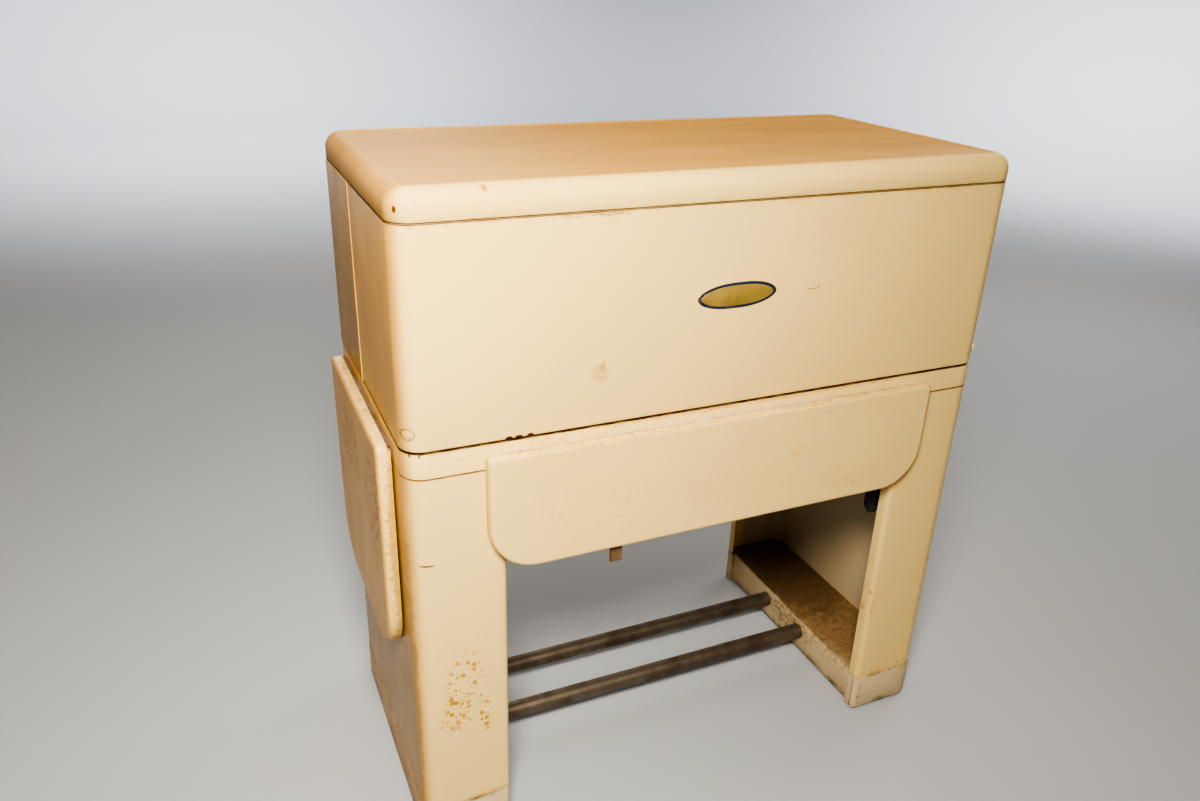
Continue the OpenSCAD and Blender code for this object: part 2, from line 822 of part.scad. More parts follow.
module motor_cradle() {
    band_t = 4;
    plate_x = body_w - sheet_t - 3;
    color("slategray") difference() {
        union() {
            translate([plate_x, motor_y[0], motor_pos.y - 60]) cube([3, motor_y[1] - motor_y[0], 120]);
            for (y = [motor_y[0] + 15, motor_y[1] - 31]) {
                translate([motor_pos.x, y, motor_pos.y]) rod_y(motor_r + band_t, 16);
                translate([motor_pos.x, y, motor_pos.y - 16])
                    cube([plate_x - motor_pos.x + 1, 16, 32]);
            }
        }
        translate([motor_pos.x, motor_y[0] - 1, motor_pos.y])
            rod_y(motor_r, motor_y[1] - motor_y[0] + 2);
    }
}

module rotor() {
    color("silver") translate([motor_pos.x, 0, motor_pos.y]) {
        translate([0, motor_y[0] + 8, 0]) rod_y(motor_shaft_r, belt_y + 10 - motor_y[0] - 8);
        translate([0, motor_y[0] + 20, 0]) rod_y(motor_r - 10, 80);
    }
}

// ---- shoe ------------------------------------------------------------------------

// Turns parts drawn closed against the roll back to where the shoe rests.
module shoe_at_rest() {
    translate([0, shoe_pivot[0], shoe_pivot[1]]) rotate([-shoe_open, 0, 0])
        translate([0, -shoe_pivot[0], -shoe_pivot[1]]) children();
}

module shoe_plate() {
    color("silver") shoe_at_rest() at_roll(shoe_x) extrude_x(shoe_len)
        sector(plate_r - shoe_t, plate_r, shoe_arc[0], shoe_arc[1]);
}

module shoe_housing() {
    color("oldlace") shoe_at_rest() difference() {
        at_roll(shoe_x) extrude_x(shoe_len) sector(plate_r, shoe_back_r, shoe_arc[0], shoe_arc[1]);
        at_roll(shoe_x + sheet_t) extrude_x(shoe_len - 2 * sheet_t)
            sector(plate_r - 1, shoe_back_r - sheet_t, shoe_arc[0] + 1, shoe_arc[1] - 1);
    }
}

module heating_elements() {
    color("darkred") shoe_at_rest() at_roll(shoe_x + sheet_t) for (a = [-25, 5, 35])
        rotate([a, 0, 0]) translate([0, plate_r + 10, 0]) rod_x(4, shoe_len - 2 * sheet_t);
}

// The shoe's pivot shaft and the two arms fixed to it and to the housing's back.
module shoe_arms() {
    color("slategray") shoe_at_rest() {
        for (x = arm_x) translate([x, 0, 0]) extrude_x(arm_t) difference() {
            union() {
                translate(shoe_pivot) circle(16);
                polygon([[237, 552], [262, 542], [318, 700], [312, 800], [280, 800], [240, 660]]);
            }
            translate([roll_y, roll_z]) circle(shoe_back_r);
        }
        translate([block_x[0] - 4, shoe_pivot[0], shoe_pivot[1]])
            rod_x(pivot_r, block_x[1] + block_w + 4 - block_x[0] + 4);
    }
}

module pillow_blocks() {
    color("lightslategray") {
        for (x = block_x) difference() {
            translate([x, shoe_pivot[0] - 18, shoe_pivot[1] - 16])
                cube([block_w, 36, deck_z - shoe_pivot[1] + 16]);
            translate([x - 1, shoe_pivot[0], shoe_pivot[1]]) rod_x(pivot_r + fit, block_w + 2);
        }
        for (x = [bar_x[0] + 20, bar_x[1] - 20 - block_w]) difference() {
            translate([x, bar_pivot[0] - 9, deck_z + deck_t])
                cube([block_w, 18, bar_pivot[1] + 9 - deck_z - deck_t]);
            translate([x - 1, bar_pivot[0], bar_pivot[1]]) rod_x(4 + fit, block_w + 2);
        }
    }
}

// ---- controls --------------------------------------------------------------------

module knee_lever() {
    y0 = knee_ears[0];
    y1 = knee_ears[1] + 3;
    hub = 14;
    mid = (y0 + y1) / 2;
    color("dimgray") {
        translate([knee_pos.x, y0 - 2, knee_pos.y]) rod_y(3, y1 - y0 + 4);
        translate([knee_pos.x, mid - hub / 2, knee_pos.y]) rod_y(8, hub);
        translate([knee_pos.x - 5, mid - 4, knee_pad_z - 10]) cube([10, 8, knee_pos.y - knee_pad_z + 10]);
    }
}

module knee_pad() {
    len = 70;
    mid = (knee_ears[0] + knee_ears[1] + 3) / 2;
    color("black") translate([knee_pos.x - 5, mid, knee_pad_z - len / 2]) {
        translate([-8, -12, 0]) cube([8, 24, len]);
        for (z = [0, len]) translate([-8, 0, z]) rod_x(12, 8);
    }
}

// The bar that a finger presses in front of the roll.
module press_bar() {
    tilt = atan2(bar_pos[0] - bar_pivot[0], bar_pos[1] - bar_pivot[1]);
    arm_w = 6.4;
    color("gainsboro") {
        translate([bar_x[0], bar_pos[0], bar_pos[1]]) rod_x(bar_r, bar_x[1] - bar_x[0]);
        translate([bar_x[0], bar_pivot[0], bar_pivot[1]]) rod_x(4, bar_x[1] - bar_x[0]);
        for (x = [bar_x[0] + 4, bar_x[1] - 4 - bar_r]) translate([x, bar_pivot[0], bar_pivot[1]])
            rotate([-tilt, 0, 0]) translate([0, -arm_w / 2, 0])
                cube([bar_r, arm_w, norm(bar_pos - bar_pivot)]);
    }
}

module control_panel() {
    inner = panel_size - [2 * panel_t, 0, panel_t];
    color("oldlace") difference() {
        translate(panel_pos) cube(panel_size);
        translate(panel_pos + [panel_t, panel_t, -panel_t]) cube(inner + [0, 1, 0]);
        translate([knob_pos[0], panel_pos.y - 1, knob_pos[1]]) rod_y(3 + fit, 4);
        for (x = switch_x) translate([x - 4, panel_pos.y - 1, switch_z - 12]) cube([8, 4, 24]);
        translate([switch_x[0], panel_pos.y - 1, lamp_z]) rod_y(6, 4);
    }
}

module thermostat_knob() {
    color("black") translate([knob_pos[0], panel_pos.y, knob_pos[1]]) {
        translate([0, -16, 0]) rod_y(16, 15.6);
        translate([0, -16, 0]) rod_y(3, 24);
        translate([-2, -20, -14]) cube([4, 4.5, 28]);
    }
}

// A toggle that turns about the panel's plane; it rests pointing down.
module toggle(x) {
    color("black") translate([x, panel_pos.y + 4, switch_z]) {
        translate([-3.5, 0, 0]) rod_x(3.5, 7);
        rotate([18, 0, 0]) translate([0, -20, 0]) rod_y(2.6, 20);
    }
}

module motor_switch() { toggle(switch_x[0]); }

module heat_switch() { toggle(switch_x[1]); }

module pilot_lamp() {
    color("firebrick") translate([switch_x[0], panel_pos.y - 4, lamp_z]) {
        rod_y(6, 12);
        translate([0, 2, 0]) rod_y(8, 2);
    }
}

module cord_bushing() {
    len = 12;
    color("black") translate([bushing_pos.x, body_d - len + 3, bushing_pos.y]) difference() {
        union() {
            rod_y(bushing_r, len);
            translate([0, len - 3, 0]) rod_y(bushing_r + 3, 2);
            translate([0, len - 3 - sheet_t - 2, 0]) rod_y(bushing_r + 3, 2);
        }
        translate([0, -1, 0]) rod_y(4.5, len + 2);
    }
}

// ---- assembly --------------------------------------------------------------------

place() left_base_channel();
place() right_base_channel();
place() floor_glides();
place() left_leg_shell();
place() right_leg_shell();
place() front_foot_rail();
place() rear_foot_rail();
place() base_rim();
place() front_apron();
place() rear_apron();
place() cross_rails();
place() work_deck();
place() hood_back();
place() hood_bumpers();
place() hood_front();
place() top_cap();
place() hood_frame();
place() hood_buttons();
place() hood_badge();
place() hood_hinges_fixed();
place() hood_hinges_moving();
place() hinge_pins();
place() front_leaf_skin();
place() front_leaf_core();
place() front_hinge_fixed();
place() front_hinge_moving();
place() front_leaf_brace();
place() side_leaf_skin();
place() side_leaf_core();
place() side_hinge_fixed();
place() side_hinge_moving();
place() side_leaf_brace();
place() roll_shaft();
place() roll_drum();
place() roll_padding();
place() roll_cover();
place() gear_case();
place() gear_case_cover();
place() worm_wheel();
place() worm_shaft();
place() driven_pulley();
place() motor_housing();
place() motor_cradle();
place() rotor();
place() motor_pulley();
place() drive_belt();
place() shoe_plate();
place() shoe_housing();
place() heating_elements();
place() shoe_arms();
place() pillow_blocks();
place() knee_lever();
place() knee_pad();
place() press_bar();
place() control_panel();
place() thermostat_knob();
place() motor_switch();
place() heat_switch();
place() pilot_lamp();
place() cord_bushing();
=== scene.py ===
"""Looks for a cream enamelled cabinet rotary ironer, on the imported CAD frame."""
import math
import bpy
from mathutils import Matrix, Vector, noise


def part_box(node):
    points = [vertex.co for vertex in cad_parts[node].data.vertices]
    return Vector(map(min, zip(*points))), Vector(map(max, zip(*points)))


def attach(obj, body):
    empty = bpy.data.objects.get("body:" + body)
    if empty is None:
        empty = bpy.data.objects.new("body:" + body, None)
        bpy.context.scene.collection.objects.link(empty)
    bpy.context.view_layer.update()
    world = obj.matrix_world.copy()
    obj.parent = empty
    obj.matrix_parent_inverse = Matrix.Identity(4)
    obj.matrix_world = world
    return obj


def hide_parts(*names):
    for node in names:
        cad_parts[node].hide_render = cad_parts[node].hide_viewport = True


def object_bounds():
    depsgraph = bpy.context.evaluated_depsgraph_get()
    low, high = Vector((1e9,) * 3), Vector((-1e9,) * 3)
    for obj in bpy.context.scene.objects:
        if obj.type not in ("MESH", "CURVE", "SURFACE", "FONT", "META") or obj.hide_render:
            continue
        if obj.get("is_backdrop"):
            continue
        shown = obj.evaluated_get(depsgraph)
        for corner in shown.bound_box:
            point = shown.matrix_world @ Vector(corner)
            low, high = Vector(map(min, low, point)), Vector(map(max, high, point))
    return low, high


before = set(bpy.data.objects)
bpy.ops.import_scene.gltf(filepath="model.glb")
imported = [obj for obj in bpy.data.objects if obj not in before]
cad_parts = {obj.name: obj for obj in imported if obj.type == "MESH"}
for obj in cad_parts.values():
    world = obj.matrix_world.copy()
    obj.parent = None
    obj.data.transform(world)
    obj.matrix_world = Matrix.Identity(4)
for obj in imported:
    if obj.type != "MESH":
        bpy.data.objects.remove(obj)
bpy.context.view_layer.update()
MM = 0.001

# ---- places, all from the CAD -----------------------------------------------------
rim_lo, rim_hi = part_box("base_rim")
LEFT, FRONT = rim_lo.x, rim_lo.y
RIGHT = rim_hi.x
MIDDLE = (LEFT + RIGHT) / 2
W, D = rim_hi.x - rim_lo.x, rim_hi.y - rim_lo.y
Z_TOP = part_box("top_cap")[1].z
Z_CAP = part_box("top_cap")[0].z
Z_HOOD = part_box("hood_front")[0].z
Z_HOOD_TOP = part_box("hood_front")[1].z
Z_RIM = rim_hi.z
Z_LEG_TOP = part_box("left_leg_shell")[1].z
Z_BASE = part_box("left_base_channel")[1].z
Z_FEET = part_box("left_base_channel")[0].z
SEAM_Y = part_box("hood_front")[1].y
BACK = FRONT + D
CORNER = 0.028
SHEET = 0.0015


def C(x, y, z):
    """A place given in millimetres from the cabinet's left side, front face and floor."""
    return Vector((LEFT + x * MM, FRONT + y * MM, z * MM))


def at(x, y, z):
    """The same place as a tuple, for the materials."""
    return tuple(C(x, y, z))


# ---- camera, from a pinhole fit to the cabinet's corners in the photograph -------------
CAMERA_PLACE = C(-185.1, -939.5, 1115.9)
SENSOR_MM, LENS_MM = 36.0, 28.17
cam_data = bpy.data.cameras.new("camera")
cam = bpy.data.objects.new("camera", cam_data)
bpy.context.scene.collection.objects.link(cam)
cam_data.sensor_width = SENSOR_MM
cam_data.lens = LENS_MM
cam_data.clip_start = 0.02
cam_data.clip_end = 60.0
yaw, pitch, roll = 0.426, -0.426, 0.032
right = Vector((math.cos(yaw), -math.sin(yaw), 0.0))
forward = Vector((math.sin(yaw) * math.cos(pitch), math.cos(yaw) * math.cos(pitch), math.sin(pitch)))
up = right.cross(forward)
right_rolled = right * math.cos(roll) + up * math.sin(roll)
up_rolled = up * math.cos(roll) - right * math.sin(roll)
turned = Matrix((right_rolled, up_rolled, -forward)).transposed().to_4x4()
cam.matrix_world = Matrix.Translation(CAMERA_PLACE) @ turned
bpy.context.scene.camera = cam
bpy.context.scene.view_settings.view_transform = "AgX"
bpy.context.scene.view_settings.look = "AgX - High Contrast"


# ---- node helpers ------------------------------------------------------------------
class Paint:
    """A procedural material, built a step at a time."""

    def __init__(self, name):
        self.mat = bpy.data.materials.new(name)
        self.mat.use_nodes = True
        self.tree = self.mat.node_tree
        self.bsdf = self.tree.nodes["Principled BSDF"]
        self.coord = self.tree.nodes.new("ShaderNodeTexCoord").outputs["Object"]

    def node(self, kind, **settings):
        n = self.tree.nodes.new("ShaderNode" + kind)
        for k, v in settings.items():
            setattr(n, k, v)
        return n

    def put(self, socket, value):
        if isinstance(value, bpy.types.NodeSocket):
            self.tree.links.new(value, socket)
        elif isinstance(value, (tuple, list)) and len(value) == 3 and socket.type == "RGBA":
            socket.default_value = (*value, 1.0)
        else:
            socket.default_value = value

    def math(self, op, a, b=0.0, clamp=False):
        n = self.node("Math", operation=op, use_clamp=clamp)
        self.put(n.inputs[0], a)
        self.put(n.inputs[1], b)
        return n.outputs[0]

    def times(self, a, b, clamp=False):
        return self.math("MULTIPLY", a, b, clamp)

    def scaled(self, by):
        n = self.node("Mapping")
        self.put(n.inputs["Vector"], self.coord)
        n.inputs["Scale"].default_value = by
        return n.outputs[0]

    def noise(self, scale, detail=3.0, rough=0.5, stretch=None, distort=0.0):
        n = self.node("TexNoise")
        self.put(n.inputs["Vector"], self.scaled(stretch) if stretch else self.coord)
        n.inputs["Scale"].default_value = scale
        n.inputs["Detail"].default_value = detail
        n.inputs["Roughness"].default_value = rough
        n.inputs["Distortion"].default_value = distort
        return n.outputs["Fac"]

    def step(self, value, low, high):
        """0 below low and 1 above high, smooth between."""
        n = self.node("MapRange", interpolation_type="SMOOTHSTEP")
        self.put(n.inputs["Value"], value)
        n.inputs["From Min"].default_value = low
        n.inputs["From Max"].default_value = high
        return n.outputs["Result"]

    def ramp(self, value, low, high):
        n = self.node("MapRange")
        self.put(n.inputs["Value"], value)
        n.inputs["To Min"].default_value = low
        n.inputs["To Max"].default_value = high
        return n.outputs["Result"]

    def mix(self, fac, a, b):
        n = self.node("Mix", data_type="RGBA", blend_type="MIX")
        self.put(n.inputs["Factor"], fac)
        self.put(n.inputs["A"], a)
        self.put(n.inputs["B"], b)
        return n.outputs["Result"]

    def axis(self, which):
        n = self.node("SeparateXYZ")
        self.put(n.inputs[0], self.coord)
        return n.outputs[which]

    def near(self, which, place, reach):
        """1 at a plane across one axis, falling to 0 at a distance from it."""
        far = self.math("ABSOLUTE", self.math("SUBTRACT", self.axis(which), place))
        return self.math("SUBTRACT", 1.0, self.step(far, reach * 0.15, reach))

    def distance(self, centre, size):
        """The distance from a centre, counted in an ellipsoid's half sizes."""
        n = self.node("Mapping")
        self.put(n.inputs["Vector"], self.coord)
        n.inputs["Scale"].default_value = tuple(1.0 / s for s in size)
        n.inputs["Location"].default_value = tuple(-c / s for c, s in zip(centre, size))
        length = self.node("VectorMath", operation="LENGTH")
        self.put(length.inputs[0], n.outputs[0])
        return length.outputs["Value"]

    def blob(self, centre, size):
        """1 inside a ragged ellipsoid, 0 outside."""
        wobble = self.times(self.math("SUBTRACT", self.noise(60.0, 4.0), 0.5), 0.7)
        r = self.math("ADD", self.distance(centre, size), wobble)
        return self.math("SUBTRACT", 1.0, self.step(r, 0.55, 1.0))

    def ring(self, centre, size):
        """1 on the surface of an ellipsoid, 0 off it."""
        off = self.math("ABSOLUTE", self.math("SUBTRACT", self.distance(centre, size), 1.0))
        return self.math("SUBTRACT", 1.0, self.step(off, 0.04, 0.22))

    def specks(self, scale, share, size):
        """Small round spots in a share of the cells of a random pattern."""
        n = self.node("TexVoronoi")
        self.put(n.inputs["Vector"], self.coord)
        n.inputs["Scale"].default_value = scale
        n.inputs["Randomness"].default_value = 1.0
        pick = self.node("SeparateColor")
        self.put(pick.inputs[0], n.outputs["Color"])
        chosen = self.math("GREATER_THAN", pick.outputs[0], 1.0 - share)
        radius = self.times(pick.outputs[1], size)
        depth = self.math("SUBTRACT", radius, n.outputs["Distance"])
        spot = self.step(depth, 0.0, size * 0.35)
        return self.times(chosen, spot)

    def bump(self, height, strength, distance=0.001, under=None):
        n = self.node("Bump")
        n.inputs["Strength"].default_value = strength
        n.inputs["Distance"].default_value = distance
        self.put(n.inputs["Height"], height)
        if under:
            self.put(n.inputs["Normal"], under)
        return n.outputs[0]

    def done(self, colour, rough, normal=None, metallic=0.0, coat=0.0, sheen=0.0, specular=0.5):
        b = self.bsdf.inputs
        self.put(b["Base Color"], colour)
        self.put(b["Roughness"], rough)
        b["Metallic"].default_value = metallic
        b["Coat Weight"].default_value = coat
        b["Coat Roughness"].default_value = 0.16
        b["Sheen Weight"].default_value = sheen
        b["Specular IOR Level"].default_value = specular
        if normal:
            self.put(b["Normal"], normal)
        return self.mat


RUST = (0.30, 0.115, 0.022)
OCHRE = (0.62, 0.33, 0.055)
GRIME = (0.10, 0.055, 0.022)
DUST = (0.33, 0.21, 0.105)

STAIN_PATTERN = {
    "specks": lambda p: p.specks(190.0, 0.6, 0.5),
    "dots": lambda p: p.math("MAXIMUM", p.specks(125.0, 0.42, 0.72), p.specks(210.0, 0.45, 0.8)),
    "grain": lambda p: p.step(p.noise(130.0, 5.0, 0.75), 0.42, 0.62),
    "mottle": lambda p: p.step(p.noise(150.0, 6.0, 0.78), 0.49, 0.62),
}


def tinted(colour, r, g, b):
    """A colour with its three channels multiplied."""
    return (colour[0] * r, colour[1] * g, colour[2] * b)


def mottled(p, base, yellow, dusty):
    """The paint itself: yellow clouds, paler patches, runs down the sheet and fine specks."""
    warm = tinted(base, 0.94, 0.86, 0.70)
    pale = tuple(min(1.0, c * 1.05) for c in base)
    cloud = p.noise(3.2, 5.0, 0.6)
    colour = p.mix(p.times(p.step(cloud, 0.34, 0.72), yellow), base, warm)
    colour = p.mix(p.times(p.step(p.noise(7.0, 3.0), 0.5, 0.75), 0.35), colour, pale)
    streak = p.step(p.noise(16.0, 5.0, 0.65, stretch=(1.0, 1.0, 0.12)), 0.52, 0.8)
    colour = p.mix(p.times(streak, 0.10 + 0.25 * dusty), colour, warm)
    fine = p.step(p.noise(150.0, 4.0, 0.7), 0.45, 0.75)
    return p.mix(p.times(fine, 0.05 + 0.08 * dusty), colour, tinted(base, 0.8, 0.68, 0.45))


def with_painted_shade(p, colour, base, painted_shade):
    """The paint darkened to yellow-brown on the given faces: painted shade, with some ageing, in wiped
    streaks.
    """
    for which, unshaded, brown, amount in painted_shade:
        shade_mask = p.times(p.step(p.axis(which), unshaded, brown), amount)
        wiped = p.step(p.noise(7.0, 5.0, 0.6, stretch=(0.35, 1.6, 1.0)), 0.3, 0.75)
        deep = p.mix(wiped, tinted(base, 0.74, 0.54, 0.34), tinted(base, 0.86, 0.68, 0.48))
        colour = p.mix(shade_mask, colour, deep)
    return colour


def hidden_faces(p):
    """1 on the inner side of a pedestal's casing and on its rear wall, 0 on its outer side and front."""
    half = RIGHT - MIDDLE
    off = p.math("ABSOLUTE", p.math("SUBTRACT", p.axis(0), MIDDLE))
    within_sheet = p.step(off, half - 0.0004, half - 0.0009)
    behind_corner = p.step(p.axis(1), FRONT + 0.030, FRONT + 0.040)
    in_pedestal = p.step(off, half - 0.10, half - 0.08)
    return p.times(p.times(within_sheet, behind_corner), in_pedestal)


def marked(p, colour, seams, lines, stains_and_shade):
    """Broken rust bands and thin dark lines at seams, and single marks, mostly real stain and some painted
    shade.
    """
    for which, place, reach, strength, tone in seams:
        broken = p.step(p.noise(26.0, 6.0, 0.7, distort=0.4), 0.40, 0.66)
        colour = p.mix(p.times(p.times(p.near(which, place, reach), broken), strength), colour, tone)
    for which, place, reach, tone in lines:
        thin = p.times(p.near(which, place, reach), p.ramp(p.noise(60.0, 4.0), 0.55, 1.3), clamp=True)
        colour = p.mix(thin, colour, tone)
    for centre, size, strength, tone, kind in stains_and_shade:
        mask = p.ring(centre, size) if kind == "ring" else p.blob(centre, size)
        if kind in STAIN_PATTERN:
            mask = p.times(mask, STAIN_PATTERN[kind](p))
        colour = p.mix(p.times(mask, strength), colour, tone)
    return colour


def enamel(name, base, yellow=0.35, rust=0.3, seams=(), lines=(), stains_and_shade=(), painted_shade=(), dusty=0.0,
           gloss=0.30, shine=0.16, inside=None):
    """Old stoved enamel: mottled, yellowed, peppered with rust and dirty at its seams.

    seams: (axis, place, reach, strength, tone) for a broken rusty band beside a seam.
    lines: (axis, place, reach, tone) for a thin dark line in a seam.
    stains_and_shade: (centre, half sizes, strength, tone, kind) for a single mark, mostly real stain and
    some painted shade.
    painted_shade: (axis, where it is unshaded, where it is brown, amount) for faces given painted shade,
    which also reads as age.
    inside: the colour of the faces that hidden_faces marks, where they have their own.
    """
    p = Paint(name)
    colour = with_painted_shade(p, mottled(p, base, yellow, dusty), base, painted_shade)
    if inside:
        flecks = p.step(p.noise(260.0, 5.0, 0.8), 0.54, 0.70)
        worn = p.mix(flecks, inside, tinted(inside, 0.45, 0.45, 0.45))
        colour = p.mix(hidden_faces(p), colour, worn)
    rough = p.ramp(p.noise(22.0, 4.0), gloss - 0.05, gloss + 0.14)
    if dusty:
        dust = p.times(p.step(p.noise(11.0, 6.0, 0.7), 0.38, 0.68), dusty)
        colour = p.mix(dust, colour, DUST)
        rough = p.mix(dust, rough, (0.7, 0.7, 0.7))
    where = p.step(p.noise(4.3, 4.0, 0.6, distort=0.6), 0.53, 0.7)
    spots = p.times(p.times(p.specks(240.0, 0.30, 0.42), where), rust, clamp=True)
    colour = p.mix(spots, colour, OCHRE)
    colour = p.mix(p.times(p.specks(95.0, 0.035, 0.16), 0.75), colour, GRIME)
    colour = marked(p, colour, seams, lines, stains_and_shade)
    low = p.bump(p.noise(5.0, 1.0), 0.10, 0.004)
    peel = p.bump(p.noise(420.0, 2.0), 0.06, 0.0004, under=low)
    chips = p.bump(p.times(spots, -1.0), 0.25, 0.0003, under=peel)
    return p.done(colour, rough, chips, coat=0.03 if shine > 0.1 else 0.0, specular=shine)


def metal(name, base, tarnish, rough=0.35, dirt=0.5, along=(1.0, 1.0, 1.0), metallic=1.0,
          speckle=0.3):
    """Bare or plated metal, tarnished in blotches, with fine lines and rust specks."""
    p = Paint(name)
    blotch = p.step(p.noise(14.0, 6.0, 0.65), 0.38, 0.66)
    colour = p.mix(p.times(blotch, dirt), base, tarnish)
    colour = p.mix(p.times(p.specks(260.0, 0.35, 0.5), speckle), colour, RUST)
    line = p.noise(320.0, 3.0, 0.6, stretch=along)
    r = p.math("ADD", p.ramp(line, rough - 0.08, rough + 0.12), p.times(blotch, 0.22 * dirt))
    return p.done(colour, r, p.bump(line, 0.12, 0.0003), metallic=metallic)


def plain(name, base, rough, grain=200.0, depth=0.2, spread=0.2, sheen=0.0, coat=0.0):
    """Rubber, plastic, castings and board: one tone with its own mottle, wear and grain."""
    p = Paint(name)
    a = tuple(c * (1.0 - spread) for c in base)
    b = tuple(min(1.0, c * (1.0 + spread) + 0.01 * spread) for c in base)
    colour = p.mix(p.step(p.noise(12.0, 5.0, 0.65), 0.35, 0.68), a, b)
    dust = p.step(p.noise(38.0, 6.0, 0.7), 0.55, 0.75)
    colour = p.mix(p.times(dust, 0.22), colour, (0.30, 0.23, 0.15))
    r = p.ramp(p.noise(60.0, 3.0), rough - 0.08, rough + 0.1)
    return p.done(colour, r, p.bump(p.noise(grain, 4.0, 0.6), depth, 0.0006), coat=coat, sheen=sheen)


def weave(name, base):
    """A plain cotton weave with scorch marks."""
    p = Paint(name)
    threads = []
    for direction in ("X", "Z"):
        n = p.node("TexWave", bands_direction=direction, wave_profile="SIN")
        p.put(n.inputs["Vector"], p.coord)
        n.inputs["Scale"].default_value = 1500.0 / 6.3
        n.inputs["Distortion"].default_value = 0.4
        threads.append(n.outputs["Fac"])
    cloth = p.times(threads[0], threads[1])
    burn = p.times(p.step(p.noise(5.0, 5.0, 0.6), 0.45, 0.75), 0.25)
    colour = p.mix(burn, base, (0.62, 0.42, 0.20))
    colour = p.mix(p.times(cloth, 0.18), colour, tuple(c * 0.7 for c in base))
    rough = p.ramp(p.noise(40.0), 0.82, 0.95)
    return p.done(colour, rough, p.bump(cloth, 0.5, 0.0004), sheen=0.3, specular=0.2)


# ---- mesh helpers --------------------------------------------------------------------
def piece(name, verts, faces, body, mat, slot, sharp=38.0, replaces=()):
    """A mesh object that rides one body and fills one material slot."""
    mesh = bpy.data.meshes.new(name)
    mesh.from_pydata([tuple(v) for v in verts], [], faces)
    mesh.validate()
    mesh.materials.append(mat)
    mesh.shade_smooth()
    mesh.set_sharp_from_angle(angle=math.radians(sharp))
    obj = bpy.data.objects.new(name, mesh)
    bpy.context.scene.collection.objects.link(obj)
    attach(obj, body)
    if replaces:
        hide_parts(*replaces)
    return obj


def arc(cx, cy, r, a0, a1, n):
    """Points on an arc with their outward normals, in plan."""
    out = []
    for k in range(n + 1):
        a = math.radians(a0 + (a1 - a0) * k / n)
        out.append((cx + r * math.cos(a), cy + r * math.sin(a), math.cos(a), math.sin(a)))
    return out


def bend(cx, cz, r, a0, a1, n):
    """An arc in a section, as (out, height) points."""
    return [(cx + r * math.cos(math.radians(a0 + (a1 - a0) * k / n)),
             cz + r * math.sin(math.radians(a0 + (a1 - a0) * k / n))) for k in range(n + 1)]


def run(a, b, nx, ny, n):
    """Evenly spaced points on a straight run, without its last one."""
    return [(a[0] + (b[0] - a[0]) * k / n, a[1] + (b[1] - a[1]) * k / n, nx, ny) for k in range(n)]


def sweep(path, section):
    """Sweeps a closed section of (out, height) points, or a function that gives it, along a plan path."""
    rows = []
    for x, y, nx, ny in path:
        points = section(y) if callable(section) else section
        rows.append([(x + nx * o, y + ny * o, z) for o, z in points])
    m = len(rows[0])
    verts = [v for row in rows for v in row]
    faces = []
    for i in range(len(rows) - 1):
        j = i + 1
        for k in range(m):
            l = (k + 1) % m
            faces.append((i * m + k, j * m + k, j * m + l, i * m + l))
    faces.append(tuple(range(m)))
    faces.append(tuple((len(rows) - 1) * m + k for k in reversed(range(m))))
    return verts, faces


def mirrored(verts, faces):
    """The same mesh on the other side of the cabinet."""
    return [(2 * LEFT + W - x, y, z) for x, y, z in verts], [tuple(reversed(f)) for f in faces]


def joined(*meshes):
    """Several meshes as one."""
    verts, faces = [], []
    for v, f in meshes:
        base = len(verts)
        verts += v
        faces += [tuple(i + base for i in face) for face in f]
    return verts, faces


def block(lo, hi):
    """A box with eased edges."""
    x0, y0, z0 = lo
    x1, y1, z1 = hi
    s = 0.0004
    ring = [(x0 + s, y0), (x1 - s, y0), (x1, y0 + s), (x1, y1 - s),
            (x1 - s, y1), (x0 + s, y1), (x0, y1 - s), (x0, y0 + s)]
    inner = [(x0 + 2 * s, y0 + s), (x1 - 2 * s, y0 + s), (x1 - s, y0 + 2 * s), (x1 - s, y1 - 2 * s),
             (x1 - 2 * s, y1 - s), (x0 + 2 * s, y1 - s), (x0 + s, y1 - 2 * s), (x0 + s, y0 + 2 * s)]
    rows = ((inner, z0), (ring, z0 + s), (ring, z1 - s), (inner, z1))
    verts = [(*p, z) for row, z in rows for p in row]
    faces = [tuple(reversed(range(8))), tuple(range(24, 32))]
    for row in range(3):
        for k in range(8):
            l = (k + 1) % 8
            faces.append((row * 8 + k, row * 8 + l, row * 8 + 8 + l, row * 8 + 8 + k))
    return verts, faces


def loop_ring(inset, radius, z, n=10):
    """One ring of a rounded rectangle inside the cabinet's outline, anticlockwise from the front left."""
    x0, y0 = LEFT + inset + radius, FRONT + inset + radius
    x1, y1 = LEFT + W - inset - radius, FRONT + D - inset - radius
    pts = []
    for cx, cy, a0 in ((x0, y0, 180), (x1, y0, 270), (x1, y1, 0), (x0, y1, 90)):
        pts += [(p[0], p[1], z) for p in arc(cx, cy, radius, a0, a0 + 90, n)]
    return pts


def stacked(rings, fill_first=False, fill_last=False, closed=False):
    """A skin through rings that have the same number of points."""
    m = len(rings[0])
    verts = [v for ring in rings for v in ring]
    faces = []
    for i in range(len(rings) if closed else len(rings) - 1):
        j = (i + 1) % len(rings)
        for k in range(m):
            l = (k + 1) % m
            faces.append((i * m + k, i * m + l, j * m + l, j * m + k))
    if fill_first:
        faces.append(tuple(reversed(range(m))))
    if fill_last:
        faces.append(tuple((len(rings) - 1) * m + k for k in range(m)))
    return verts, faces


